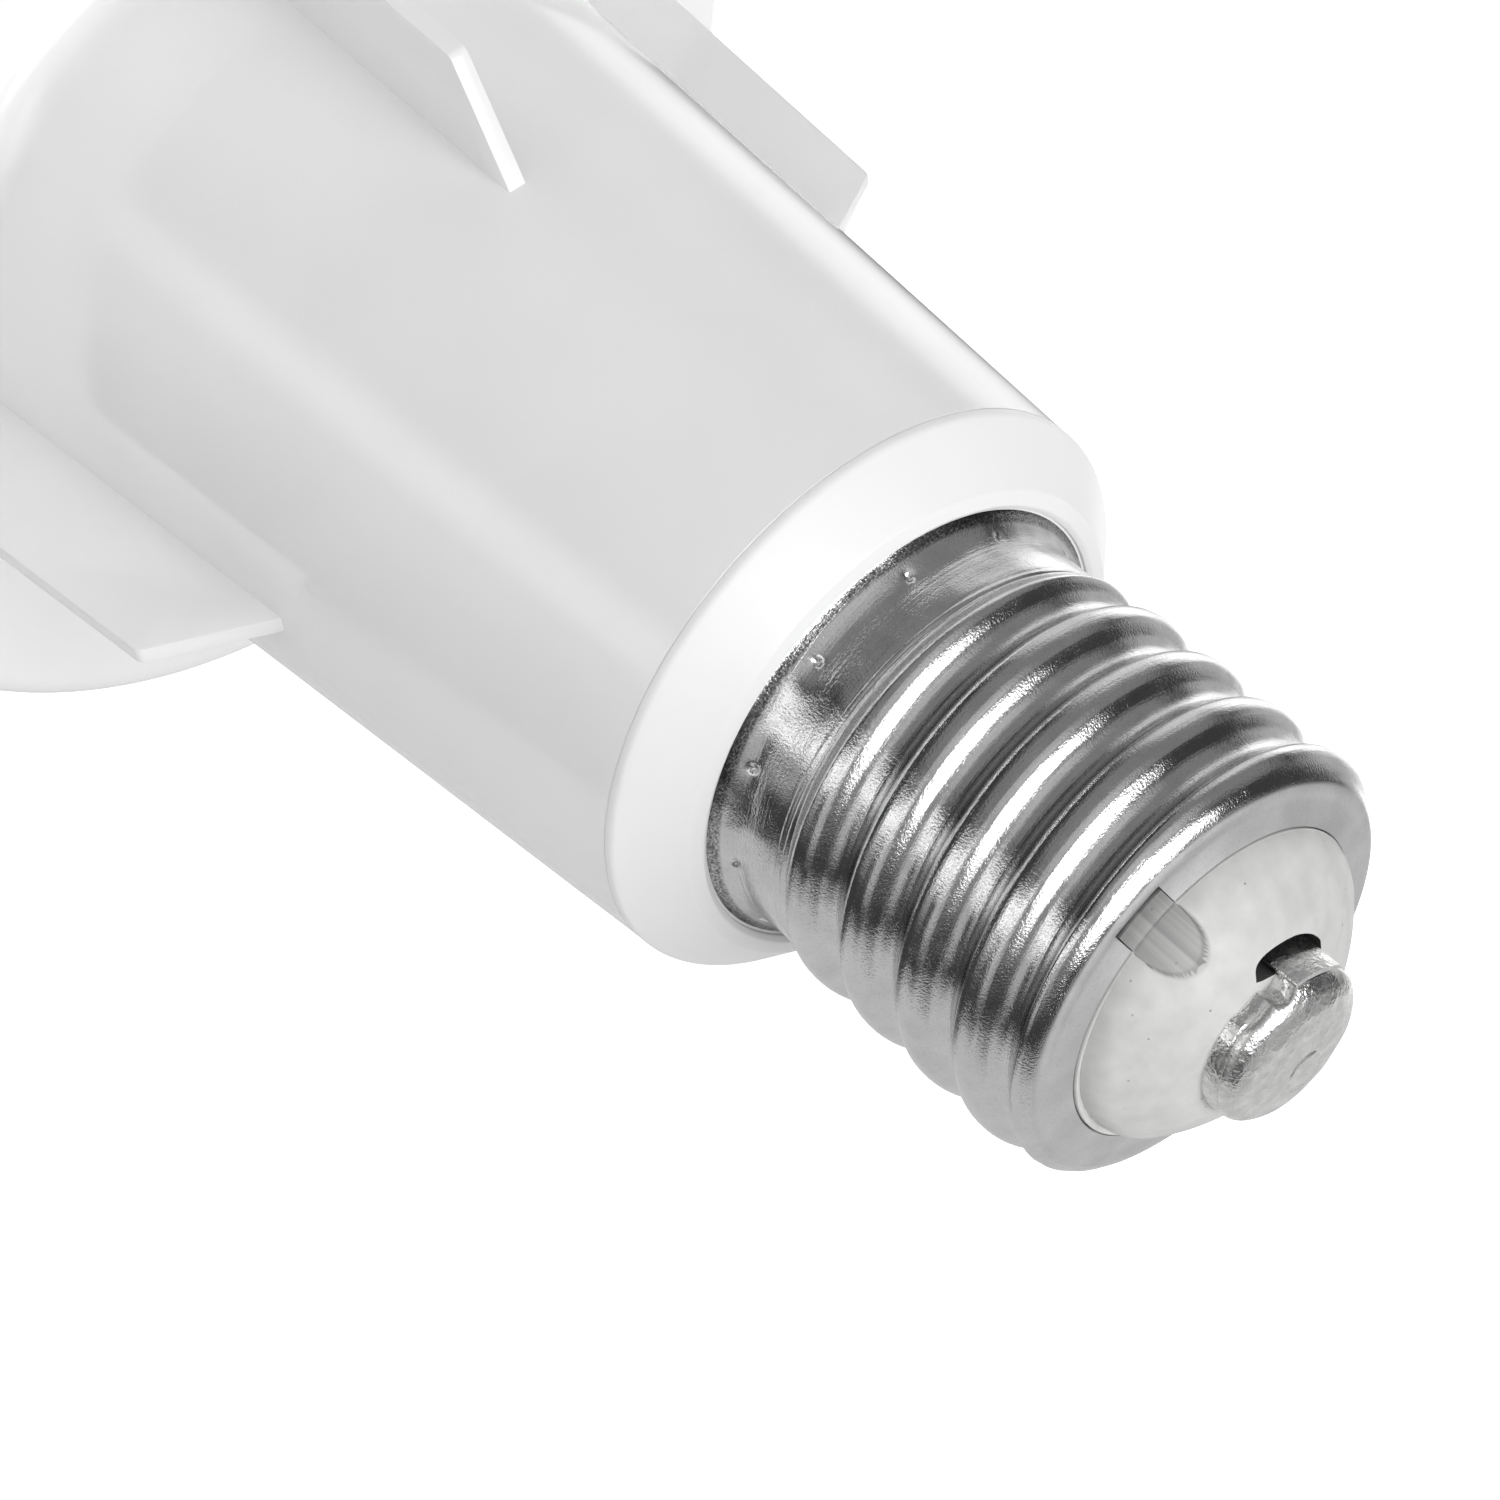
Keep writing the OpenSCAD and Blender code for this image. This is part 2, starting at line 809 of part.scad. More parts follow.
module input_capacitor() {
    bead = input_cap_d / 20;
    color("black")
        hang()
            translate([right_x, board_front + input_cap_d / 2, input_cap_z])
                rotate_extrude()
                    polygon([
                        [0, 0],
                        [input_cap_d / 2 - bead, 0],
                        [input_cap_d / 2, bead],
                        [input_cap_d / 2, 2 * bead],
                        [input_cap_d / 2 - bead, 3 * bead],
                        [input_cap_d / 2, 4 * bead],
                        [input_cap_d / 2, input_cap_len - bead],
                        [input_cap_d / 2 - bead, input_cap_len],
                        [0, input_cap_len]
                    ]);
}

// Power switch standing against its aluminium plate
module power_switch() {
    tab_t = switch_t / 3;
    body_share = 0.65;
    color("dimgray")
        hang()
            translate([left_x - switch_w / 2, board_front, switch_z])
                union() {
                    cube([switch_w, body_share * switch_h, switch_t]);
                    cube([switch_w, switch_h, tab_t]);
                }
}

module switch_heatsink() {
    color("silver")
        hang()
            translate([left_x - sink_w / 2, board_front, sink_z])
                cube([sink_w, sink_h, sink_t]);
}

// Transformer: a frame core with a round middle leg, and its winding
module transformer_core() {
    color("dimgray")
        hang()
            translate([left_x, board_front, core_z])
                union() {
                    for (y = [0, core_h - core_plate])
                        translate([-core_w / 2, y, 0])
                            cube([core_w, core_plate, core_len]);
                    for (x = [-core_w / 2, core_w / 2 - core_side_w])
                        translate([x, core_plate / 2, 0])
                            cube([core_side_w, core_h - core_plate, core_len]);
                    translate([0, core_plate / 2, core_len / 2])
                        rotate([-90, 0, 0])
                            cylinder(d = core_leg_d, h = core_h - core_plate);
                }
}

module transformer_winding() {
    window = core_w / 2 - core_side_w;
    h = core_h - 2 * core_plate;
    color("gold")
        hang()
            translate([left_x, board_front + core_plate, core_z + core_len / 2])
                rotate([-90, 0, 0])
                    difference() {
                        cylinder(r = window - slip, h = h);
                        translate([0, 0, -over])
                            cylinder(d = core_leg_d, h = h + 2 * over);
                    }
}

module output_capacitor() {
    color("navy")
        hang()
            translate([right_x, board_front, output_cap_z])
                rotate([-90, 0, 0])
                    union() {
                        cylinder(d = output_cap_d, h = output_cap_h);
                        cylinder(d = 0.9 * output_cap_d, h = output_cap_h + output_cap_d / 30);
                    }
}

// Parts on the back of the board
bridge_w = 8;
bridge_len = 6;
bridge_h = 2.4;
chip8_w = 5;
chip8_len = 4;
chip8_h = 1.6;
diode_w = 4.4;
diode_len = 5;
diode_h = 2.2;
small_w = 2;
small_len = 1.25;
small_h = 0.6;
small_rows = 5;
small_cols = 3;

module on_back(x_share, z_share, w, len, h) {
    translate([x_share * board_half_w - w / 2, board_back - h, board_z + z_share * board_len])
        cube([w, h, len]);
}

module bridge_rectifier() {
    color("black")
        hang()
            on_back(-0.4, 0.2, bridge_w, bridge_len, bridge_h);
}

module output_diode() {
    color("black")
        hang()
            on_back(0.45, 0.8, diode_w, diode_len, diode_h);
}

module control_chip() {
    color("black")
        hang()
            on_back(0, 0.45, chip8_w, chip8_len, chip8_h);
}

module chip_parts() {
    color("saddlebrown")
        hang()
            for (col = [0 : small_cols - 1], row = [0 : small_rows - 1])
                on_back(0.3 + 0.2 * col, 0.3 + 0.08 * row, small_w, small_len, small_h);
}

// Leads: each is one smooth tube through a few route points
lead_sides = 8;
lead_steps = 5;
// Point on a Catmull-Rom curve between p1 and p2
function curve_point(p0, p1, p2, p3, t) =
    (2 * p1 + (p2 - p0) * t + (2 * p0 - 5 * p1 + 4 * p2 - p3) * pow(t, 2)
        + (3 * p1 - p0 - 3 * p2 + p3) * pow(t, 3)) / 2;
function smooth_route(points) =
    let (n = len(points))
    [
        for (i = [0 : n - 2], k = [0 : lead_steps - (i == n - 2 ? 0 : 1)])
            curve_point(
                points[max(0, i - 1)], points[i], points[i + 1], points[min(n - 1, i + 2)],
                k / lead_steps
            )
    ];
function unit(v) = v / norm(v);

module lead(points) {
    path = smooth_route(points);
    n = len(path);
    rings = [
        for (i = [0 : n - 1])
            let (
                along = unit(path[min(n - 1, i + 1)] - path[max(0, i - 1)]),
                side = unit(cross([0, 1, 0], along)),
                up = cross(along, side)
            )
            for (k = [0 : lead_sides - 1])
                path[i] + lead_d / 2 * (cos(360 * k / lead_sides) * side + sin(360 * k / lead_sides) * up)
    ];
    sides = [
        for (i = [0 : n - 2], k = [0 : lead_sides - 1])
            let (
                a = i * lead_sides + k,
                b = i * lead_sides + (k + 1) % lead_sides
            )
            each [[a, a + lead_sides, b], [b, a + lead_sides, b + lead_sides]]
    ];
    ends = [
        for (k = [1 : lead_sides - 2])
            each [
                [0, k, k + 1],
                [(n - 1) * lead_sides, (n - 1) * lead_sides + k + 1, (n - 1) * lead_sides + k]
            ]
    ];
    polyhedron(points = rings, faces = concat(sides, ends), convexity = 6);
}

lead_r = lead_d / 2;
lead_pitch = 1.5 * lead_d;
lead_y = board_front + lead_r + slip;

module live_lead() {
    start_r = strap_in_r + strap_t + lead_r;
    start = [
        start_r * cos(strap_angle),
        start_r * sin(strap_angle),
        strap_top + strap_len - lead_d
    ];
    color("saddlebrown")
        hang()
            lead([
                start,
                [start[0], start[1], insulator_h],
                [start[0] * 0.6, start[1] * 0.2, cap_h - spigot_h + spigot_wall],
                [left_x / 2, lead_y / 2, neck_z - lead_d],
                [fuse_x, lead_y, board_z],
                [fuse_x, lead_y, fuse_z - part_gap]
            ]);
}

module neutral_lead() {
    in_slot = spigot_r - lead_r;
    color("royalblue")
        hang()
            lead([
                [in_slot, 0, cap_h - flare_h],
                [in_slot, 0, cap_h - spigot_h + lead_d],
                [in_slot - spigot_wall, 0, cap_h - spigot_h - 1.5 * lead_d],
                [in_slot - 3 * spigot_wall, 0, cap_h - spigot_h + lead_d],
                [in_slot - 3 * spigot_wall, lead_y / 2, neck_z],
                [lane_x, lead_y, board_z + part_gap],
                [lane_x, lead_y, fuse_z + fuse_len]
            ]);
}

// Pair of leads from the board's top edge to the connector on the LED board
module dc_leads() {
    color("firebrick")
        hang()
            for (side = [-1, 1])
                lead([
                    [side * lead_pitch, lead_y, board_z + board_len - 3 * part_gap],
                    [side * lead_pitch / 2, lead_y / 2, sleeve_top],
                    [side * lead_pitch / 2 + lead_r, 0, sleeve_top + 3 * lid_hole_d],
                    [lead_hole_x, side * lead_pitch / 2, led_board_z - lead_hole_d],
                    [lead_hole_x, side * lead_pitch / 2, led_top],
                    [connector_len / 2 + lead_d, side * lead_pitch / 2, led_top + connector_h / 2],
                    [connector_len / 4, side * lead_pitch / 2, led_top + connector_h / 2]
                ]);
}

screw_shell();
cap_insulator();
centre_contact();
contact_strap();
collar();
housing();
heat_spreader();
thermal_paste();
led_board();
led_chips();
board_screws();
board_connector();
diffuser();
diffuser_seal();
driver_sleeve();
sleeve_lid();
driver_board();
line_fuse();
surge_varistor();
film_capacitor();
choke_core();
choke_winding();
bridge_rectifier();
input_capacitor();
power_switch();
switch_heatsink();
transformer_core();
transformer_winding();
output_capacitor();
output_diode();
control_chip();
chip_parts();
live_lead();
neutral_lead();
dc_leads();
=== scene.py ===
"""High power LED bulb on a large screw cap, hung cap up from the origin."""

import math

import bmesh
import bpy
import numpy as np
from mathutils import Matrix, Vector


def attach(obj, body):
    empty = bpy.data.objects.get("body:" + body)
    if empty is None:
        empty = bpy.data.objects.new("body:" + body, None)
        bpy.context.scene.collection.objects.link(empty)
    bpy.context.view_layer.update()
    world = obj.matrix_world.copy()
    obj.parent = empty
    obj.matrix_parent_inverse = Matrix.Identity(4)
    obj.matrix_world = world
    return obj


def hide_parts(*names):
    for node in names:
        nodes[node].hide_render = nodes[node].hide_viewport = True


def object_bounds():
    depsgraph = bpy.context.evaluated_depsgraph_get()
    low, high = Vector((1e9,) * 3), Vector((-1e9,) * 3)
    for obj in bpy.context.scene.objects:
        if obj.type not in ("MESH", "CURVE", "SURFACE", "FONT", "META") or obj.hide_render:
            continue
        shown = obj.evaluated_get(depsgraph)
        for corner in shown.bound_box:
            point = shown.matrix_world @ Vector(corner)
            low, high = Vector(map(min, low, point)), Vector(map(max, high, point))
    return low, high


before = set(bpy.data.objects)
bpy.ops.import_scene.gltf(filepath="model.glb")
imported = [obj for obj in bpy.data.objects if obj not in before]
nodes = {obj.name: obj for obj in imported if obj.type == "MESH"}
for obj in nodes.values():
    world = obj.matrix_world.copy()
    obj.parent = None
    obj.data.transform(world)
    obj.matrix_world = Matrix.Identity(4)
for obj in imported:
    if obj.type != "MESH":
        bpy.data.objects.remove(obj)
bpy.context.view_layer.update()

# Camera. A long lens close to the cap, turned so that the lamp's axis runs down to the right. Its place
# and its turn were found from the thread's crests, the collar's rings, the contact and the fins.
MM = 0.001
CAMERA_AZIMUTH = math.radians(25.5)
CAMERA_ELEVATION = math.radians(31.43)
CAMERA_ROLL = math.radians(130.64)
CAMERA_PLACE = Vector((254.4, 131.67, 121.06)) * MM

camera_data = bpy.data.cameras.new("camera")
camera_data.sensor_width = 36
camera_data.lens = 99.42
camera_data.clip_start = 10 * MM
camera_data.clip_end = 20
camera = bpy.data.objects.new("camera", camera_data)
bpy.context.scene.collection.objects.link(camera)
camera.matrix_world = (
    Matrix.Translation(CAMERA_PLACE)
    @ Matrix.Rotation(CAMERA_AZIMUTH + math.pi / 2, 4, "Z")
    @ Matrix.Rotation(math.pi / 2 - CAMERA_ELEVATION, 4, "X")
    @ Matrix.Rotation(CAMERA_ROLL, 4, "Z")
)
bpy.context.scene.camera = camera

# Screw shell. Thin brass sheet, drawn to a cup, rolled with a round thread and nickel plated. Its skirt
# flares out round the collar, held by a ring of punch marks; the other end is turned in over the ceramic.
# Lengths are in millimetres, and s is the distance from the contact's face along the lamp's axis.
THREAD_CREST_R = 19.65
THREAD_PITCH = 6.35
THREAD_DEPTH = 1.8
CREST_TURN = 0.22
SHEET = 0.35
SHELL_TIP = 10.0
SHELL_RIM = 44.8
SKIRT_R = 18.7
SKIRT_START = 38.0
FLARE_H = 3.2
FLARE_POWER = 2.3
RIM_R = 20.2
LIP_HOLE_R = 14.28
LIP_DISH = 0.5
CURL_W = 2.9
CURL_H = 2.6
MARK_COUNT = 12
MARK_FIRST = math.radians(28.5)
MARK_S = 43.0
MARK_R = 0.33
MARK_DEPTH = 0.32
POCKET_ANGLE = math.radians(25.5)
POCKET_W = 4.8
LIP_GAP_R = 16.7
LIP_GAP_MIDDLE = 15.3
CUTTER_END = 0.001


def smooth_min(a, b, width):
    """The lower of two heights, with the corner between them rounded over a width."""
    near = np.clip(0.5 + 0.5 * (b - a) / width, 0, 1)
    return b * (1 - near) + a * near - width * near * (1 - near)


def rise(value, start, end):
    """0 below start, 1 above end, and smooth between."""
    share = np.clip((value - start) / (end - start), 0, 1)
    return share * share * (3 - 2 * share)


def thread_radius(s, turn):
    """Radius of the rolled thread at a distance from the contact and an angle in turns."""
    arc_r = ((THREAD_PITCH / 2) ** 2 + THREAD_DEPTH**2) / (4 * THREAD_DEPTH)
    pitches = (s - SHELL_TIP) / THREAD_PITCH - CREST_TURN + turn
    off = THREAD_PITCH * np.abs(pitches - np.round(pitches))
    crest = THREAD_CREST_R - arc_r + np.sqrt(arc_r**2 - np.minimum(off, arc_r) ** 2)
    from_root = THREAD_PITCH / 2 - off
    root = THREAD_CREST_R - THREAD_DEPTH + arc_r - np.sqrt(arc_r**2 - np.minimum(from_root, arc_r) ** 2)
    return np.where(off < THREAD_PITCH / 4, crest, root)


def shell_radius(s, angle):
    """Radius of the shell's outer face: turned-in end, thread, creased and punched skirt, and flare."""
    s, angle = np.broadcast_arrays(s, angle)
    drop = np.clip((SHELL_TIP + CURL_H - s) / CURL_H, 0, 1)
    curl = THREAD_CREST_R - CURL_W * (1 - np.sqrt(1 - drop**2))
    rolled = smooth_min(curl, thread_radius(s, angle / math.tau), 0.35)
    flare = np.clip((s - (SHELL_RIM - FLARE_H)) / FLARE_H, 0, 1) ** FLARE_POWER
    skirt = SKIRT_R + (RIM_R - SKIRT_R) * flare
    deep_crease = 0.1 * np.exp(-(((s - SKIRT_START) / 0.16) ** 2))
    crease = deep_crease + 0.05 * np.exp(-(((s - SKIRT_START - 0.6) / 0.14) ** 2))
    share = rise(s, SKIRT_START - 1.9, SKIRT_START)
    radius = rolled * (1 - share) + skirt * share - crease
    step = math.tau / MARK_COUNT
    off_mark = (angle - MARK_FIRST + step / 2) % step - step / 2
    distance = np.hypot(off_mark * SKIRT_R, s - MARK_S)
    pit = MARK_DEPTH * np.exp(-((distance / MARK_R) ** 2)) + 0.06 * np.exp(-(distance**2))
    ripple = np.sin(7 * angle + 0.5 * s) * np.sin(1.1 * s + 3 * angle)
    wave = 0.025 * (1 + ripple) * rise(s, SKIRT_START, SKIRT_START + 1.5)
    return radius - pit - wave


def skin_mesh(name, rings, sharp=40):
    """Joins rows of points, each row a closed ring, into one closed skin."""
    rows, columns, _ = rings.shape
    index = np.arange(rows * columns).reshape(rows, columns)
    after = np.roll(index, -1, axis=0)
    quads = np.stack([index, np.roll(index, -1, 1), np.roll(after, -1, 1), after], axis=-1)
    mesh = bpy.data.meshes.new(name)
    mesh.from_pydata((rings.reshape(-1, 3) * MM).tolist(), [], quads.reshape(-1, 4).tolist())
    shape = bmesh.new()
    shape.from_mesh(mesh)
    bmesh.ops.remove_doubles(shape, verts=shape.verts, dist=0.001 * MM)
    bmesh.ops.recalc_face_normals(shape, faces=shape.faces)
    shape.to_mesh(mesh)
    shape.free()
    mesh.shade_smooth()
    mesh.set_sharp_from_angle(angle=math.radians(sharp))
    piece = bpy.data.objects.new(name, mesh)
    bpy.context.scene.collection.objects.link(piece)
    return piece


def ring_points(radius, s, angle):
    """Points in millimetres at a radius, a distance from the contact's face and an angle."""
    radius, s, angle = np.broadcast_arrays(radius, s, angle)
    return np.stack([radius * np.cos(angle), radius * np.sin(angle), -s], axis=-1)


mark_step = math.tau / MARK_COUNT
near_mark = np.arange(-8, 8) * math.radians(0.4)
between_marks = np.linspace(math.radians(3.2), mark_step - math.radians(3.2), 21)[:-1]
one_mark = np.concatenate([near_mark, between_marks])
shell_angles = np.concatenate([MARK_FIRST + one_mark + k * mark_step for k in range(MARK_COUNT)])
curl_angles = np.radians(np.linspace(4, 88, 16))
outer_s = np.concatenate([
    SHELL_TIP + CURL_H * (1 - np.cos(curl_angles)),
    np.arange(SHELL_TIP + CURL_H + 0.1, SKIRT_START - 2.0, 0.24),
    np.arange(SKIRT_START - 2.0, SKIRT_START + 0.8, 0.1),
    np.arange(SKIRT_START + 0.9, MARK_S - 1.1, 0.4),
    np.arange(MARK_S - 1.0, MARK_S + 1.05, 0.13),
    np.linspace(MARK_S + 1.2, SHELL_RIM - 0.1, 4),
])[:, None]
inner_s = np.concatenate([
    np.arange(SHELL_RIM - 0.1, SKIRT_START + 1, -0.8),
    np.arange(SKIRT_START + 0.6, SHELL_TIP + CURL_H, -0.5),
    SHELL_TIP + CURL_H * (1 - np.cos(curl_angles[::-3])) + 0.2,
])[:, None]
lip = [
    (LIP_HOLE_R, -LIP_DISH + 0.1), (LIP_HOLE_R + 0.08, -LIP_DISH),
    (15.4, -0.25), (16.3, -0.03), (16.75, 0.05),
]
lip_back = [
    (16.5, SHEET + 0.1), (15.4, SHEET - 0.2),
    (LIP_HOLE_R + 0.08, SHEET - LIP_DISH), (LIP_HOLE_R, SHEET - LIP_DISH - 0.1),
]
rim_edge = [(RIM_R - 0.02, SHELL_RIM - 0.03), (RIM_R - 0.14, SHELL_RIM), (RIM_R - 0.3, SHELL_RIM)]
shell_rings = np.concatenate([
    [ring_points(r, SHELL_TIP + s, shell_angles) for r, s in lip],
    ring_points(shell_radius(outer_s, shell_angles), outer_s, shell_angles),
    [ring_points(r, s, shell_angles) for r, s in rim_edge],
    ring_points(shell_radius(inner_s, shell_angles) - SHEET, inner_s, shell_angles),
    [ring_points(r, SHELL_TIP + s, shell_angles) for r, s in lip_back],
])
screw_shell = skin_mesh("screw_shell_rolled", shell_rings, sharp=50)


def solid_work(piece, other, operation, sharp):
    """Cuts or joins two solids into one mesh, whose edges are sharp from an angle in degrees."""
    work = piece.modifiers.new(operation, "BOOLEAN")
    work.operation = operation
    work.solver = "EXACT"
    work.object = other
    bpy.context.view_layer.update()
    made = bpy.data.meshes.new_from_object(piece.evaluated_get(bpy.context.evaluated_depsgraph_get()))
    piece.modifiers.clear()
    old = piece.data
    piece.data = made
    made.name = piece.name
    bpy.data.meshes.remove(old)
    bpy.data.objects.remove(other)
    made.shade_smooth()
    made.set_sharp_from_angle(angle=math.radians(sharp))


def prism(name, outline, middle, angle, top, bottom):
    """A straight cutter between two levels, over an outline given outwards and sideways at an angle."""
    outline, middle = np.array(outline), np.array(middle)
    rings = []
    for share, s in ((CUTTER_END, top), (1, top), (1, bottom), (CUTTER_END, bottom)):
        out, side = (middle + (outline - middle) * share).T
        rings.append(ring_points(np.hypot(out, side), float(s), angle + np.arctan2(side, out)))
    return skin_mesh(name, np.array(rings))


# The lip is cut back in one place, where the insulator's pocket runs out under it.
gap = [
    (LIP_HOLE_R - 0.5, -POCKET_W / 2), (LIP_GAP_R, -POCKET_W / 2),
    (LIP_GAP_R, POCKET_W / 2), (LIP_HOLE_R - 0.5, POCKET_W / 2),
]
gap_cutter = prism("gap_cutter", gap, (LIP_GAP_MIDDLE, 0), POCKET_ANGLE, 9, 11)
solid_work(screw_shell, gap_cutter, "DIFFERENCE", sharp=50)
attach(screw_shell, "root")
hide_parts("screw_shell")


def colour(code):
    """Linear colour of an sRGB hex value."""
    parts = [int(code[i : i + 2], 16) / 255 for i in (1, 3, 5)]
    linear = [p / 12.92 if p <= 0.04045 else ((p + 0.055) / 1.055) ** 2.4 for p in parts]
    return (*linear, 1)


def add_node(tree, kind, inputs=None, **settings):
    """Adds a node, sets its fields, and fills its sockets with values or links."""
    node = tree.nodes.new(kind)
    for field, value in settings.items():
        setattr(node, field, value)
    for socket, value in (inputs or {}).items():
        if isinstance(value, bpy.types.NodeSocket):
            tree.links.new(value, node.inputs[socket])
        else:
            node.inputs[socket].default_value = value
    return node


def new_material(name, **base):
    """A material with one shader; gives the node tree, the shader and the mesh's own coordinates."""
    material = bpy.data.materials.new(name)
    material.use_nodes = True
    tree = material.node_tree
    shader = tree.nodes["Principled BSDF"]
    for socket, value in base.items():
        shader.inputs[socket.replace("_", " ")].default_value = value
    place = add_node(tree, "ShaderNodeTexCoord").outputs["Object"]
    return material, tree, shader, place


def dress(piece, material):
    """Puts one material on a piece."""
    piece.data.materials.clear()
    piece.data.materials.append(material)


# Bright nickel over rolled brass: mirror-like, with the sheet's orange-peel grain showing as sparkle,
# soft dents in the skirt, a painted dark reflection in a grainy band along the flared edge, and roller
# lines along the thread. The turned-in end was spun satin. The grain is drawn coarser than it is, so that
# it shows.
GRAIN = 0.2
DENT = 4.0
ROLLER_LINE = 0.45
PATCH = 3.0
POLISHED = 0.09
SATIN = 0.48
nickel, tree, shader, place = new_material("nickel_plate", Metallic=1, Roughness=POLISHED)
apart = add_node(tree, "ShaderNodeSeparateXYZ", {0: place})
turn = add_node(
    tree, "ShaderNodeMath", {0: apart.outputs["Y"], 1: apart.outputs["X"]}, operation="ARCTAN2",
)
turns = add_node(tree, "ShaderNodeMath", {0: turn.outputs[0], 1: 1 / math.tau}, operation="MULTIPLY")
phase = add_node(
    tree, "ShaderNodeMath",
    {0: apart.outputs["Z"], 1: -1 / (THREAD_PITCH * MM), 2: turns.outputs[0]},
    operation="MULTIPLY_ADD",
)
across = add_node(tree, "ShaderNodeMath", {0: phase.outputs[0]}, operation="FRACT")
lines = add_node(
    tree, "ShaderNodeTexNoise",
    {"W": across.outputs[0], "Scale": THREAD_PITCH / ROLLER_LINE, "Detail": 2}, noise_dimensions="1D",
)
grain = add_node(
    tree, "ShaderNodeTexNoise",
    {"Vector": place, "Scale": 1 / (GRAIN * MM), "Detail": 2, "Roughness": 0.7},
)
dents = add_node(tree, "ShaderNodeTexNoise", {"Vector": place, "Scale": 1 / (DENT * MM), "Detail": 1})
patches = add_node(tree, "ShaderNodeTexNoise", {"Vector": place, "Scale": 1 / (PATCH * MM), "Detail": 3})
tone = add_node(tree, "ShaderNodeValToRGB", {"Fac": patches.outputs["Fac"]})
tone.color_ramp.elements[0].position = 0.3
tone.color_ramp.elements[0].color = colour("#CFCFCF")
tone.color_ramp.elements[1].position = 0.7
tone.color_ramp.elements[1].color = colour("#DDDDDD")
# Painted dark reflection: in a band along the flared rim the colour turns dark grey, broken up by the
# grain, in place of the dark reflection along the rim's curl.
edge = add_node(
    tree, "ShaderNodeMapRange",
    {"Value": apart.outputs["Z"], "From Min": -43.9 * MM, "From Max": -44.2 * MM},
    interpolation_type="SMOOTHSTEP",
)
rim_dark_grain = add_node(
    tree, "ShaderNodeMapRange",
    {"Value": grain.outputs["Fac"], "From Min": 0.35, "From Max": 0.6, "To Min": 0.1, "To Max": 1},
)
rim_shade_and_waver = add_node(tree, "ShaderNodeMath", {0: edge.outputs[0], 1: rim_dark_grain.outputs[0]}, operation="MULTIPLY")
pitted = add_node(
    tree, "ShaderNodeMapRange",
    {"Value": grain.outputs["Fac"], "From Min": 0.34, "From Max": 0.46, "To Min": 0.9, "To Max": 1},
)
grained = add_node(
    tree, "ShaderNodeVectorMath", {0: tone.outputs["Color"], "Scale": pitted.outputs[0]},
    operation="SCALE",
)
rim_painted_dark = add_node(
    tree, "ShaderNodeMix", {0: rim_shade_and_waver.outputs[0], 6: grained.outputs[0], 7: colour("#646464")},
    data_type="RGBA",
)
tree.links.new(rim_painted_dark.outputs[2], shader.inputs["Base Color"])
rolled = add_node(
    tree, "ShaderNodeMapRange",
    {"Value": apart.outputs["Z"], "From Min": -10.1 * MM, "From Max": -10.3 * MM},
    interpolation_type="SMOOTHSTEP",
)
plain = add_node(
    tree, "ShaderNodeMapRange",
    {
        "Value": apart.outputs["Z"], "From Min": -SKIRT_START * MM, "From Max": -(SKIRT_START + 2) * MM,
        "To Min": 0.4, "To Max": 1,
    },
)
peel = add_node(
    tree, "ShaderNodeMapRange",
    {"Value": patches.outputs["Fac"], "From Min": 0.35, "From Max": 0.65, "To Min": 0.5, "To Max": 1},
)
strength = add_node(
    tree, "ShaderNodeMath", {0: rolled.outputs[0], 1: peel.outputs[0]}, operation="MULTIPLY",
)
gloss = add_node(
    tree, "ShaderNodeMapRange", {"Value": rolled.outputs[0], "To Min": SATIN, "To Max": POLISHED},
)
tree.links.new(gloss.outputs["Result"], shader.inputs["Roughness"])
wide = add_node(
    tree, "ShaderNodeBump",
    {"Strength": plain.outputs[0], "Distance": 0.2 * MM, "Height": dents.outputs["Fac"]},
)
fine = add_node(
    tree, "ShaderNodeBump",
    {
        "Strength": 0.5, "Distance": 0.05 * MM, "Height": lines.outputs["Fac"],
        "Normal": wide.outputs["Normal"],
    },
)
bump = add_node(
    tree, "ShaderNodeBump",
    {
        "Strength": strength.outputs[0], "Distance": 0.038 * MM, "Height": grain.outputs["Fac"],
        "Normal": fine.outputs["Normal"],
    },
)
tree.links.new(bump.outputs["Normal"], shader.inputs["Normal"])
dress(screw_shell, nickel)

# Cap insulator. A pressed steatite dome that stands a little proud of the turned-in end. It has a slot
# where the contact's strap goes in, and a shallow moulded pocket that runs out under the shell's lip.
# Near its edge the dome turns down to a narrow ledge, wider where it is chipped.
DOME_EDGE_R = 14.2
DOME_EDGE_S = 8.7
CONTACT_R = 7.1
CONTACT_H = 3.4
FLANGE_S = 10.55
BORE_R = 11.0
BORE_S = 16.5
POCKET_LEN = 3.0
POCKET_RUN = 3.8
POCKET_INNER = 0.3
POCKET_OUTER = 0.85
TONGUE_R = 16.6
LEDGE_R = 13.86
LEDGE_S = 9.33
TURN_R = 3.9
TURN_FROM_R = 12.76
TURN_TO = math.radians(82)
CHIP_ANGLE = math.radians(112)
CHIP_W = 0.28
FLUSH_W = 0.3
SLOT_ANGLE = math.radians(-17)
SLOT_W = 7.1
SLOT_REACH = 1.75
SLOT_END_R = 7.2
SLOT_T = 2.2

land_r = CONTACT_R + 0.2
spread = DOME_EDGE_R**2 + DOME_EDGE_S**2 - land_r**2 - CONTACT_H**2
dome_centre_s = spread / (2 * (DOME_EDGE_S - CONTACT_H))
dome_r = math.hypot(DOME_EDGE_R, dome_centre_s - DOME_EDGE_S)
dome_angles = np.concatenate([
    np.radians(np.arange(-180, 12, 2)),
    np.radians(np.arange(12, 39, 0.35)),
    np.radians(np.arange(39, 180, 2)),
])
dome_rows = np.concatenate([[0.01, 3, 5, 6], np.arange(6.6, 12.7, 0.14)])


def dome_s(radius):
    """Depth of the dome's face below the contact's face."""
    face = dome_centre_s - np.sqrt(dome_r**2 - np.maximum(radius, land_r) ** 2)
    return np.where(radius < land_r, CONTACT_H, face)


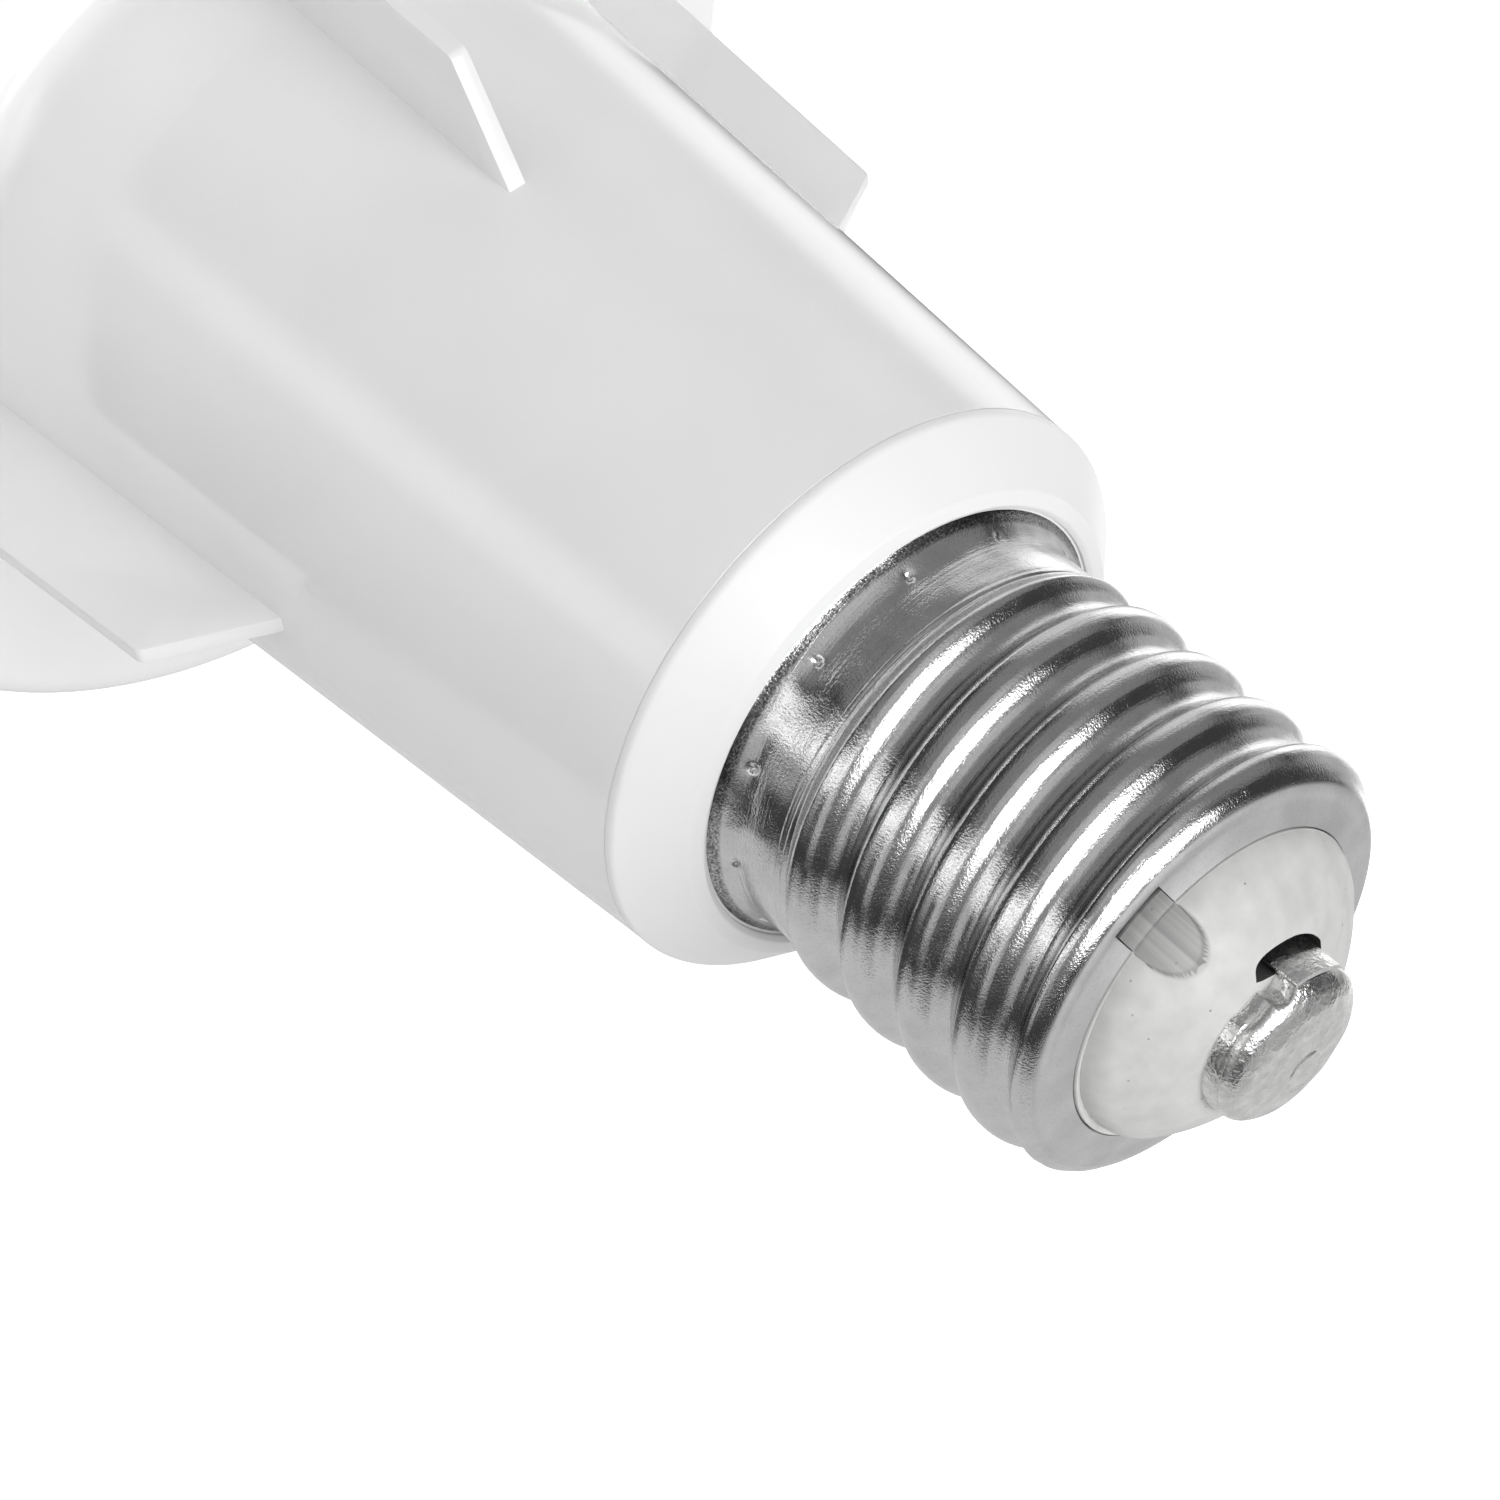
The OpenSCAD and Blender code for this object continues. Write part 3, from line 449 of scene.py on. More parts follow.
def pocket_share(radius, angle):
    """1 on the pocket's floor and 0 outside it."""
    out = radius * np.cos(angle - POCKET_ANGLE) - (DOME_EDGE_R - POCKET_LEN + POCKET_W / 2)
    across = radius * np.sin(angle - POCKET_ANGLE)
    distance = np.hypot(np.minimum(out, 0), across)
    return 1 - rise(distance, POCKET_W / 2 - 0.1, POCKET_W / 2 + 0.1)


def dome_ring(radius, s):
    """One ring of the dome's face, pressed in over the pocket, whose floor runs out on a tongue."""
    share = pocket_share(radius, dome_angles)
    out = radius * np.cos(dome_angles - POCKET_ANGLE) - DOME_EDGE_R + POCKET_RUN
    depth = POCKET_INNER + (POCKET_OUTER - POCKET_INNER) * np.clip(out / POCKET_RUN, 0, 1)
    return ring_points(radius, s + share * (dome_s(radius) + depth - s), dome_angles)


off_chip = dome_angles - CHIP_ANGLE
ragged = 1 + 0.15 * np.sin(45 * dome_angles) + 0.1 * np.sin(97 * dome_angles)
chipped = CHIP_W * np.exp(-((off_chip / 0.4) ** 2)) * ragged
flush = FLUSH_W * (1 - np.exp(-((off_chip / 1.25) ** 4)))
dome_rings = [dome_ring(r, dome_s(r)) for r in dome_rows]
turn_s = float(dome_s(TURN_FROM_R))
turn_from = math.asin(TURN_FROM_R / dome_r)
for share in np.linspace(0, 1, 10):
    steep = turn_from + share * (TURN_TO - turn_from)
    r = TURN_FROM_R + TURN_R * (math.sin(steep) - math.sin(turn_from))
    s = turn_s + TURN_R * (math.cos(turn_from) - math.cos(steep))
    dome_rings.append(dome_ring(r + share * (flush - chipped), s))
dome_rings.append(dome_ring(LEDGE_R + flush - chipped, LEDGE_S + 0.03))
dome_rings.append(dome_ring(LEDGE_R + 0.12 + 0.7 * flush, LEDGE_S))
dome_rings.append(dome_ring(DOME_EDGE_R - 0.08 + 0.3 * flush, LEDGE_S))
dome_rings.append(dome_ring(DOME_EDGE_R + 0.13 * flush, LEDGE_S + 0.1))
across = DOME_EDGE_R * np.sin(dome_angles - POCKET_ANGLE)
on_tongue = (np.abs(across) < POCKET_W / 2 - 0.04) & (np.cos(dome_angles - POCKET_ANGLE) > 0)
tongue_angles = np.where(on_tongue, POCKET_ANGLE + np.arcsin(across / TONGUE_R), dome_angles)
tongue_r = np.where(on_tongue, TONGUE_R, DOME_EDGE_R)
for s in (9.8, FLANGE_S):
    dome_rings.append(ring_points(tongue_r, np.where(on_tongue, s, 9.7), tongue_angles))
for r, s in ((BORE_R, BORE_S), (BORE_R, CONTACT_H + 5), (0.01, CONTACT_H + 5)):
    dome_rings.append(ring_points(r, s, dome_angles))
insulator = skin_mesh("cap_insulator_dome", np.array(dome_rings), sharp=50)

# The slot is a bow in plan that closes on the strap at one end.
slot_in = CONTACT_R + SLOT_REACH - SLOT_T
slot_half = SLOT_W / 2
slot = [(slot_in, -slot_half)]
for t in np.linspace(-math.pi / 2, math.pi / 2, 33):
    power = 1.5 if t < 0 else 0.8
    bow = (CONTACT_R + SLOT_REACH - SLOT_END_R) * max(math.cos(t), 0) ** power
    slot.append((SLOT_END_R + bow, slot_half * math.sin(t)))
slot.append((slot_in, slot_half))
slot_cutter = prism("slot_cutter", slot, np.mean(slot, axis=0), SLOT_ANGLE, 1, 12)
solid_work(insulator, slot_cutter, "DIFFERENCE", sharp=50)
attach(insulator, "root")
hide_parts("cap_insulator")

# Steatite as pressed and fired: matt, off-white, with a faint cloud and a few dark specks. The pocket's
# floor is painted greyer, as painted shade for its steep slope away from the light, streaked along the way
# the tool slid, and darker towards the rim. The slot's walls are dark, because hardly any light gets down
# to them.
CLOUD = 2.2
SPECK = 1.6
PORE = 0.3
POCKET_STREAK = 0.75
ceramics = []
# The pocket's grey is painted shade for its sloping floor; the slot's near-black is painted shade down in
# the slot.
for name, low, high, rim_darkening in (
    ("steatite", "#C5C5C4", "#D3D3D2", 1),
    ("steatite_pocket_painted_shade", "#8E8E8D", "#B4B4B3", 0.62),
    ("steatite_slot", "#3A3A39", "#4E4E4D", 1),
):
    ceramic, tree, shader, place = new_material(name, Roughness=0.55, IOR=1.6)
    cloud = add_node(tree, "ShaderNodeTexNoise", {"Vector": place, "Scale": 1 / (CLOUD * MM), "Detail": 4})
    if name == "steatite_pocket_painted_shade":
        turned_place = add_node(
            tree, "ShaderNodeVectorRotate", {0: place, "Angle": -POCKET_ANGLE}, rotation_type="Z_AXIS",
        )
        apart = add_node(tree, "ShaderNodeSeparateXYZ", {0: turned_place.outputs[0]})
        cloud = add_node(
            tree, "ShaderNodeTexNoise",
            {
                "W": apart.outputs["Y"], "Scale": 1 / (POCKET_STREAK * MM),
                "Detail": 3, "Roughness": 0.6,
            },
            noise_dimensions="1D",
        )
    tone = add_node(tree, "ShaderNodeValToRGB", {"Fac": cloud.outputs["Fac"]})
    tone.color_ramp.elements[0].position = 0.3
    tone.color_ramp.elements[0].color = colour(low)
    tone.color_ramp.elements[1].position = 0.7
    tone.color_ramp.elements[1].color = colour(high)
    specks = add_node(
        tree, "ShaderNodeTexVoronoi", {"Vector": place, "Scale": 1 / (SPECK * MM), "Randomness": 1},
    )
    speck = add_node(
        tree, "ShaderNodeMapRange",
        {
            "Value": specks.outputs["Distance"], "From Min": 0.04, "From Max": 0.09,
            "To Min": 0.2, "To Max": 1,
        },
    )
    speckled = add_node(
        tree, "ShaderNodeMix",
        {0: speck.outputs["Result"], 6: colour("#70706F"), 7: tone.outputs["Color"]}, data_type="RGBA",
    )
    flat_place = add_node(tree, "ShaderNodeVectorMath", {0: place, 1: (1, 1, 0)}, operation="MULTIPLY")
    from_axis = add_node(tree, "ShaderNodeVectorMath", {0: flat_place.outputs[0]}, operation="LENGTH")
    # The colour grows darker towards the rim, from 12 to 16 mm out; only the pocket's material uses it.
    toward_rim = add_node(
        tree, "ShaderNodeMapRange",
        {
            "Value": from_axis.outputs["Value"], "From Min": 12 * MM, "From Max": 16 * MM,
            "To Min": 1, "To Max": rim_darkening,
        },
    )
    darkened_to_rim = add_node(
        tree, "ShaderNodeVectorMath", {0: speckled.outputs[2], "Scale": toward_rim.outputs[0]},
        operation="SCALE",
    )
    tree.links.new(darkened_to_rim.outputs[0], shader.inputs["Base Color"])
    pores = add_node(tree, "ShaderNodeTexNoise", {"Vector": place, "Scale": 1 / (PORE * MM), "Detail": 3})
    bump = add_node(
        tree, "ShaderNodeBump", {"Strength": 0.3, "Distance": 0.03 * MM, "Height": pores.outputs["Fac"]},
    )
    tree.links.new(bump.outputs["Normal"], shader.inputs["Normal"])
    ceramics.append(ceramic)
dress(insulator, ceramics[0])
insulator.data.materials.append(ceramics[1])
insulator.data.materials.append(ceramics[2])
for face in insulator.data.polygons:
    x, y, z = face.center / MM
    if -z < FLANGE_S + 0.1 and pocket_share(math.hypot(x, y), math.atan2(y, x)) > 0.5:
        face.material_index = 1
    out = x * math.cos(SLOT_ANGLE) + y * math.sin(SLOT_ANGLE)
    side = y * math.cos(SLOT_ANGLE) - x * math.sin(SLOT_ANGLE)
    in_slot = CONTACT_R - 1 < out < CONTACT_R + SLOT_REACH + 0.02 and abs(side) < slot_half + 0.02
    if in_slot and abs(face.normal.z) < 0.3 and -z > CONTACT_H + 0.3:
        face.material_index = 2

# Centre contact. A drawn brass button, tinned with solder, that sits on the ceramic's flat land. It has
# a notch in its edge by the strap, a worn facet beside the notch and a ring dent in its face.
FACE_R = 7.0
FACE_ROLL = 1.8
NOTCH_ANGLE = math.radians(5)
NOTCH_HALF = 1.3
NOTCH_DEPTH = 1.5
FACET_OFF = 2.3
FACET_HALF = 1.6
FACET_DEPTH = 0.4
DENT_RING_R = 1.9
DENT_DEPTH = 0.11
WAVE_DEPTH = 0.16

contact_angles = np.radians(np.concatenate([
    np.arange(-180, -14, 1.5), np.arange(-14, 40, 0.7), np.arange(40, 180, 1.5),
]))
rolled_r = FACE_R * np.sin(np.linspace(0.92, math.pi / 2, 16))
face_r = np.concatenate([np.arange(0.02, 5.4, 0.16), rolled_r])
contact_outline = [(r, FACE_ROLL * (1 - math.sqrt(max(1 - (r / FACE_R) ** 3, 0)))) for r in face_r]
contact_outline += [
    (FACE_R - 0.12, 1.95), (FACE_R - 0.1, 2.0), (CONTACT_R, 2.15), (CONTACT_R, 2.6), (CONTACT_R, 3),
    (CONTACT_R, CONTACT_H - 0.02), (5, CONTACT_H - 0.02), (0.01, CONTACT_H - 0.02),
]
waves = np.random.default_rng(7).normal(size=(24, 3))


def solder_waver(x, y):
    """Slow unevenness of the solder's face."""
    height = np.zeros_like(x)
    for kx, ky, phase in waves:
        height += np.sin(kx * 1.1 * x + ky * 1.1 * y + phase * 3)
    return height / len(waves)


contact_rings = []
off = CONTACT_R * (contact_angles - NOTCH_ANGLE)
bite = NOTCH_DEPTH * np.clip(1 - np.abs(off) / NOTCH_HALF, 0, 1)
facet = FACET_DEPTH * np.clip(1 - ((off - FACET_OFF) / FACET_HALF) ** 2, 0, 1)
for r, s in contact_outline:
    cut = np.maximum(bite, facet) * rise(s, 0.7, 1.9) * (r / CONTACT_R) ** 8
    ring = ring_points(r - cut, s, contact_angles)
    x, y = ring[:, 0], ring[:, 1]
    from_ring = np.hypot(x + 2.3, y + 0.6) - DENT_RING_R
    dent = DENT_DEPTH * np.exp(-((from_ring / 0.22) ** 2))
    rim_shade_and_waver = WAVE_DEPTH * solder_waver(x, y) * rise(r, 0, 2) if s < CONTACT_H - 0.1 else 0
    ring[:, 2] -= (dent if s < 0.6 else 0) + np.maximum(rim_shade_and_waver + 0.06, 0)
    contact_rings.append(ring)
contact = skin_mesh("centre_contact_button", np.array(contact_rings), sharp=45)
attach(contact, "root")
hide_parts("centre_contact")

# Solder dipped over brass: soft metal with ripples, brighter and duller in patches, and rough where
# it set over the rim.
RIPPLE = 1.4
PIT = 0.3
solder, tree, shader, place = new_material("tinned_brass", Metallic=1, Roughness=0.26)
ripple = add_node(
    tree, "ShaderNodeTexNoise",
    {"Vector": place, "Scale": 1 / (RIPPLE * MM), "Detail": 3, "Roughness": 0.6},
)
pits = add_node(tree, "ShaderNodeTexNoise", {"Vector": place, "Scale": 1 / (PIT * MM), "Detail": 2})
tone = add_node(tree, "ShaderNodeValToRGB", {"Fac": ripple.outputs["Fac"]})
tone.color_ramp.elements[0].position = 0.3
tone.color_ramp.elements[0].color = colour("#D6D6D5")
tone.color_ramp.elements[1].position = 0.7
tone.color_ramp.elements[1].color = colour("#F2F2F1")
tree.links.new(tone.outputs["Color"], shader.inputs["Base Color"])
gloss = add_node(
    tree, "ShaderNodeMapRange",
    {"Value": ripple.outputs["Fac"], "From Min": 0.3, "From Max": 0.7, "To Min": 0.34, "To Max": 0.18},
)
tree.links.new(gloss.outputs["Result"], shader.inputs["Roughness"])
flat_place = add_node(tree, "ShaderNodeVectorMath", {0: place, 1: (1, 1, 0)}, operation="MULTIPLY")
from_axis = add_node(tree, "ShaderNodeVectorMath", {0: flat_place.outputs[0]}, operation="LENGTH")
rough_rim = add_node(
    tree, "ShaderNodeMapRange",
    {
        "Value": from_axis.outputs["Value"], "From Min": 5 * MM, "From Max": 6.3 * MM,
        "To Min": 0.12, "To Max": 1,
    },
)
coarse = add_node(
    tree, "ShaderNodeBump", {"Strength": 0.6, "Distance": 0.22 * MM, "Height": ripple.outputs["Fac"]},
)
bump = add_node(
    tree, "ShaderNodeBump",
    {
        "Strength": rough_rim.outputs[0], "Distance": 0.05 * MM, "Height": pits.outputs["Fac"],
        "Normal": coarse.outputs["Normal"],
    },
)
tree.links.new(bump.outputs["Normal"], shader.inputs["Normal"])
dress(contact, solder)

# Contact strap. One tongue of the same tinned brass, bent to the button's side: it leaves under the
# solder's rim and runs straight down through the slot.
STRAP_START = math.radians(-42)
STRAP_END = math.radians(-3)
STRAP_IN_R = 7.16
STRAP_T = 0.45
STRAP_CHAMFER = 0.08
STRAP_SHUT = 0.001

strap_levels = np.array([1.3, 1.45, 2.5, 3.4, 4.5, 6, 9, 13.1])
strap_half = STRAP_T / 2
strap_columns = [(STRAP_START, STRAP_SHUT), (STRAP_START, strap_half - STRAP_CHAMFER)]
for angle in np.linspace(STRAP_START + 0.011, STRAP_END - 0.011, 18):
    strap_columns.append((angle, strap_half))
strap_columns += [(STRAP_END, strap_half - STRAP_CHAMFER), (STRAP_END, STRAP_SHUT)]
strap_s = np.concatenate([strap_levels, strap_levels[::-1]])
strap_rows = []
for angle, reach in strap_columns:
    strap_r = STRAP_IN_R + strap_half + np.repeat([reach, -reach], len(strap_levels))
    strap_rows.append(ring_points(strap_r, strap_s, angle))
strap = skin_mesh("contact_strap_tongue", np.array(strap_rows), sharp=45)
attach(strap, "root")
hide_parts("contact_strap")
dress(strap, solder)


# Collar. A ring moulded in white polycarbonate. It plugs into the neck, carries the cap on its spigot,
# and has a raised ring round the cap's rim.
def rounded(corners, steps=6):
    """Outline through corners of (radius, distance, rounding), with an arc at each rounded corner."""
    outline = []
    for i, (r, s, size) in enumerate(corners):
        here = np.array([r, s], float)
        back = np.array(corners[i - 1][:2], float) - here
        ahead = np.array(corners[(i + 1) % len(corners)][:2], float) - here
        if size <= 0:
            outline.append(here)
            continue
        reach_back, reach_ahead = np.linalg.norm(back), np.linalg.norm(ahead)
        back, ahead = back / reach_back, ahead / reach_ahead
        half = math.acos(np.clip(back @ ahead, -1, 1)) / 2
        run = min(size / math.tan(half), 0.48 * reach_back, 0.48 * reach_ahead)
        middle = (back + ahead) / np.linalg.norm(back + ahead)
        centre = here + middle * run / math.cos(half)
        start, end = here + back * run - centre, here + ahead * run - centre
        swing = math.acos(np.clip(start @ end / (start @ start), -1, 1))
        for t in np.linspace(0, 1, steps + 1):
            step = start * math.sin((1 - t) * swing) + end * math.sin(t * swing)
            outline.append(centre + step / math.sin(swing))
    return np.array(outline)


def turned(name, outline, sides=240, sharp=35):
    """A piece of revolution from its closed outline of radius and distance."""
    angles = np.arange(sides) * math.tau / sides
    outline = np.asarray(outline)
    rings = ring_points(outline[:, 0][:, None], outline[:, 1][:, None], angles)
    return skin_mesh(name, rings, sharp)


NECK_START = 49.5
NECK_R = 26.5
WALL = 1.8
SPIGOT_R = 17.2
SPIGOT_TIP = 34.0
SEAT_R = 18.15
RING_IN_R = 20.4
RING_OUT_R = 22.1
PLUG_R = NECK_R - WALL - 0.2
PLUG_W = 3.4
PLUG_H = 7.0
collar_corners = [
    (SPIGOT_R - 2, SPIGOT_TIP, 0.3), (SPIGOT_R, SPIGOT_TIP, 0.3), (SPIGOT_R, 36.1, 0),
    (SEAT_R, 40, 0), (SEAT_R, SHELL_RIM, 0), (RING_IN_R, SHELL_RIM, 0),
    (RING_IN_R, SHELL_RIM - 0.3, 0.15), (RING_IN_R + 0.5, SHELL_RIM - 0.6, 0.3),
    (RING_OUT_R, SHELL_RIM - 0.3, 0.4), (RING_OUT_R + 0.6, SHELL_RIM + 0.3, 0.5),
    (NECK_R, NECK_START - 0.75, 0.9), (NECK_R, NECK_START, 0.08), (PLUG_R, NECK_START, 0),
    (PLUG_R, NECK_START + PLUG_H, 0.3), (PLUG_R - PLUG_W, NECK_START + PLUG_H, 0.3),
    (PLUG_R - PLUG_W, NECK_START, 0), (SPIGOT_R - 2, NECK_START - 2, 0),
]
collar = turned("collar_ring", rounded(collar_corners))
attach(collar, "root")
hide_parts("collar")


def moulded(name, code, roughness, grain_mm=0.6, depth_mm=0.01):
    """Injection moulded plastic: even colour, with a faint flow cloud and the tool's fine texture."""
    material, tree, shader, place = new_material(name, Roughness=roughness, IOR=1.54)
    cloud = add_node(tree, "ShaderNodeTexNoise", {"Vector": place, "Scale": 1 / (18 * MM), "Detail": 2})
    tone = add_node(tree, "ShaderNodeValToRGB", {"Fac": cloud.outputs["Fac"]})
    full = colour(code)
    tone.color_ramp.elements[0].position = 0.3
    tone.color_ramp.elements[0].color = (*(0.965 * c for c in full[:3]), 1)
    tone.color_ramp.elements[1].position = 0.7
    tone.color_ramp.elements[1].color = full
    tree.links.new(tone.outputs["Color"], shader.inputs["Base Color"])
    texture = add_node(
        tree, "ShaderNodeTexNoise", {"Vector": place, "Scale": 1 / (grain_mm * MM), "Detail": 3},
    )
    bump = add_node(
        tree, "ShaderNodeBump",
        {"Strength": 0.2, "Distance": depth_mm * MM, "Height": texture.outputs["Fac"]},
    )
    tree.links.new(bump.outputs["Normal"], shader.inputs["Normal"])
    return material


# Polycarbonate from a satin tool: brighter and softer than the glossy neck.
dress(collar, moulded("collar_polycarbonate", "#F2F2F2", 0.35))

# Housing. One glossy white moulding: neck, flat shoulder, tapered side and a straight rim,
# with four fins standing in the corner of neck and shoulder.
NECK_LEN = 81.2
NECK_SLOPE = math.radians(4.4)
NECK_FILLET = 4.0
SHOULDER_R = 54.7
SHOULDER_ROUND = 3.0
HEAD_R = 59.0
SIDE_H = 28.0
HEAD_BAND = 9.0
shoulder_s = NECK_START + NECK_LEN
head_s = shoulder_s + SIDE_H
rim_s = head_s + HEAD_BAND


def neck_radius(s):
    """Radius of the neck's face."""
    return NECK_R + (s - NECK_START) * math.tan(NECK_SLOPE)


fillet_s = shoulder_s - NECK_FILLET
fillet_centre = (neck_radius(fillet_s) + NECK_FILLET / math.cos(NECK_SLOPE), fillet_s)
edge_centre = (SHOULDER_R - SHOULDER_ROUND, shoulder_s + SHOULDER_ROUND)
to_band = (HEAD_R - edge_centre[0], head_s - edge_centre[1])
side_angle = math.acos(SHOULDER_ROUND / math.hypot(*to_band)) - math.atan2(to_band[1], to_band[0])


def arc(centre, radius, start, end, steps):
    """Points of an arc in the half plane of radius and distance."""
    t = np.linspace(start, end, steps + 1)
    return np.stack([centre[0] + radius * np.cos(t), centre[1] + radius * np.sin(t)], axis=-1)


def housing_line(depth, steps=14):
    """Half outline of the moulding at a depth below its outer face, from the collar to the rim."""
    fillet = arc(fillet_centre, NECK_FILLET + depth, math.pi - NECK_SLOPE, math.pi / 2, steps)
    edge = arc(edge_centre, SHOULDER_ROUND - depth, -math.pi / 2, -side_angle, steps)
    neck = np.linspace((NECK_R - depth, NECK_START), fillet[0], 12)
    side = np.linspace(edge[-1], (HEAD_R - depth, head_s), 6)
    return np.concatenate([neck[:-1], fillet, edge[:-1], side])


rim_edge = [(HEAD_R, rim_s - 0.25), (HEAD_R - 0.08, rim_s - 0.07), (HEAD_R - 0.25, rim_s)]
rim_back = [(HEAD_R - WALL + 0.2, rim_s), (HEAD_R - WALL, rim_s - 0.2)]
mouth = [(NECK_R - WALL, NECK_START), (NECK_R - 0.15, NECK_START), (NECK_R, NECK_START + 0.12)]
housing_outline = np.concatenate([
    housing_line(0)[1:], rim_edge, rim_back, housing_line(WALL, 6)[::-1][:-1], mouth,
])
housing = turned("housing_moulding", housing_outline, sides=320)

# The fins are drawn as one mesh of four and joined to the moulding, with their edges softened.
FIN_COUNT = 4
FIN_T = 1.7
FIN_FOOT = 88.4
FIN_REACH = 10.4
FIN_RAKE = 5.5
FIN_SLOPE = math.radians(5.6)
FIN_ROUND = 1.0
FIN_EDGE = 0.18

middle_line = housing_line(WALL / 2)
corner = np.array([neck_radius(FIN_FOOT + FIN_RAKE) + FIN_REACH, FIN_FOOT + FIN_RAKE])
edge_run = middle_line[:, 1] - corner[1]
edge_r = corner[0] + edge_run * math.tan(FIN_SLOPE)
inside = (middle_line[:, 1] > FIN_FOOT) & (middle_line[:, 0] < edge_r)
root_line = middle_line[inside][::-1]
last = int(np.nonzero(inside)[0][-1])
cross = middle_line[last + 1]
fin_corners = [
    (neck_radius(FIN_FOOT) - WALL / 2, FIN_FOOT, 0), (neck_radius(FIN_FOOT), FIN_FOOT, 0),
    (*corner, FIN_ROUND), (corner[0] + (cross[1] - corner[1]) * math.tan(FIN_SLOPE), cross[1], 0),
]
fin_outline = np.concatenate([rounded(fin_corners), root_line])
fin_shape = bmesh.new()
for k in range(FIN_COUNT):
    angle = math.tau * k / FIN_COUNT
    out = np.array([math.cos(angle), math.sin(angle)])
    side = np.array([-math.sin(angle), math.cos(angle)])
    faces = []
    for half in (-FIN_T / 2, FIN_T / 2):
        points = [(*(r * out + half * side), -s) for r, s in fin_outline]
        faces.append(fin_shape.faces.new([fin_shape.verts.new(Vector(p) * MM) for p in points]))
    for a, b in zip(faces[0].loops, faces[1].loops):
        fin_shape.faces.new([a.vert, a.link_loop_next.vert, b.link_loop_next.vert, b.vert])
bmesh.ops.recalc_face_normals(fin_shape, faces=fin_shape.faces)
fin_mesh = bpy.data.meshes.new("fins")
fin_shape.to_mesh(fin_mesh)
fin_shape.free()
fins = bpy.data.objects.new("fins", fin_mesh)
bpy.context.scene.collection.objects.link(fins)
soften = fins.modifiers.new("edge", "BEVEL")
soften.width = FIN_EDGE * MM
soften.segments = 2
soften.angle_limit = math.radians(40)
solid_work(housing, fins, "UNION", sharp=35)
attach(housing, "root")
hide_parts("housing")
# Polycarbonate from a polished tool: clear reflections over a white body.
dress(housing, moulded("housing_polycarbonate", "#F0F0F0", 0.1))


def drawn(name, code, roughness, grain_mm=0.25, depth_mm=0.005):
    """Bare or plated metal: fine scratches in its gloss and a faint grain."""
    material, tree, shader, place = new_material(name, Metallic=1, Base_Color=colour(code))
    scratch = add_node(
        tree, "ShaderNodeTexNoise", {"Vector": place, "Scale": 1 / (grain_mm * MM), "Detail": 4},
    )
    gloss = add_node(
        tree, "ShaderNodeMapRange",
        {
            "Value": scratch.outputs["Fac"], "From Min": 0.3, "From Max": 0.7,
            "To Min": roughness * 0.7, "To Max": roughness * 1.4,
        },
    )
    tree.links.new(gloss.outputs["Result"], shader.inputs["Roughness"])
    bump = add_node(
        tree, "ShaderNodeBump",
        {"Strength": 0.3, "Distance": depth_mm * MM, "Height": scratch.outputs["Fac"]},
    )
    tree.links.new(bump.outputs["Normal"], shader.inputs["Normal"])
    return material


dress(nodes["heat_spreader"], drawn("spun_aluminium", "#C9CACC", 0.32, 0.4, 0.02))

# Thermal paste. Grey silicone paste, printed in a thin layer that the board squeezes flat when its
# screws are driven home.
dress(nodes["thermal_paste"], moulded("silicone_paste", "#B8BBBF", 0.6, 1.2, 0.05))

# LED board. An aluminium-cored board with white solder mask, held by three zinc-plated screws. Its
# chips are lead frames filled with yellow phosphor gel, and a nylon connector takes the leads.
dress(nodes["led_board"], moulded("white_solder_mask", "#EDEDEA", 0.4, 0.3, 0.004))
dress(nodes["led_chips"], moulded("phosphor_gel", "#EACB60", 0.3, 0.12, 0.01))
dress(nodes["board_screws"], drawn("zinc_plated_steel", "#B4B4B3", 0.35))
dress(nodes["board_connector"], moulded("white_nylon", "#DAD8CC", 0.45, 0.3, 0.01))

# Diffuser seal. A bead of white silicone, laid wet round the housing's rim, which glues the dome in and
# keeps damp out.
dress(nodes["diffuser_seal"], moulded("silicone_bead", "#E2E2E0", 0.3, 2.5, 0.08))

# Driver sleeve and lid. Ivory flame-retardant polyester, moulded in a spark-eroded tool. The sleeve
# stands in the neck, and with its lid it insulates the driver.
sleeve_plastic = moulded("flame_retardant_polyester", "#DCDACC", 0.5, 0.35, 0.02)
for name in ("driver_sleeve", "sleeve_lid"):
    dress(nodes[name], sleeve_plastic)

# Driver board. Glass epoxy under green solder mask. Its fuse has nickel-plated caps, its varistor is
# dipped in blue epoxy, and its film capacitor sits in a yellow moulded case.
dress(nodes["driver_board"], moulded("green_solder_mask", "#1B5C38", 0.35, 0.5, 0.02))
dress(nodes["line_fuse"], drawn("nickel_fuse_cap", "#C6C5C2", 0.22))
dress(nodes["surge_varistor"], moulded("dipped_blue_epoxy", "#1E3A8C", 0.2, 2.0, 0.06))
dress(nodes["film_capacitor"], moulded("yellow_capacitor_case", "#D9A92A", 0.35, 0.3, 0.01))

# Rectifier, switch, diode and chips. All are moulded in black epoxy round their lead frames and
# soldered to the driver board.
black_epoxy = moulded("moulded_black_epoxy", "#1C1C1D", 0.55, 0.12, 0.01)
for name in ("bridge_rectifier", "power_switch", "output_diode", "control_chip", "chip_parts"):
    dress(nodes[name], black_epoxy)

# Electrolytic capacitors. Aluminium cans in black sleeve, which is shrunk on hot and keeps a slight
# waviness.
shrink_sleeve = moulded("black_shrink_sleeve", "#242428", 0.28, 3.0, 0.03)
for name in ("input_capacitor", "output_capacitor"):
    dress(nodes[name], shrink_sleeve)

# Switch heatsink. A piece of mill-finish aluminium sheet, cut square and fixed to the back of the power
# switch.
dress(nodes["switch_heatsink"], drawn("mill_aluminium", "#BFC0C2", 0.38))


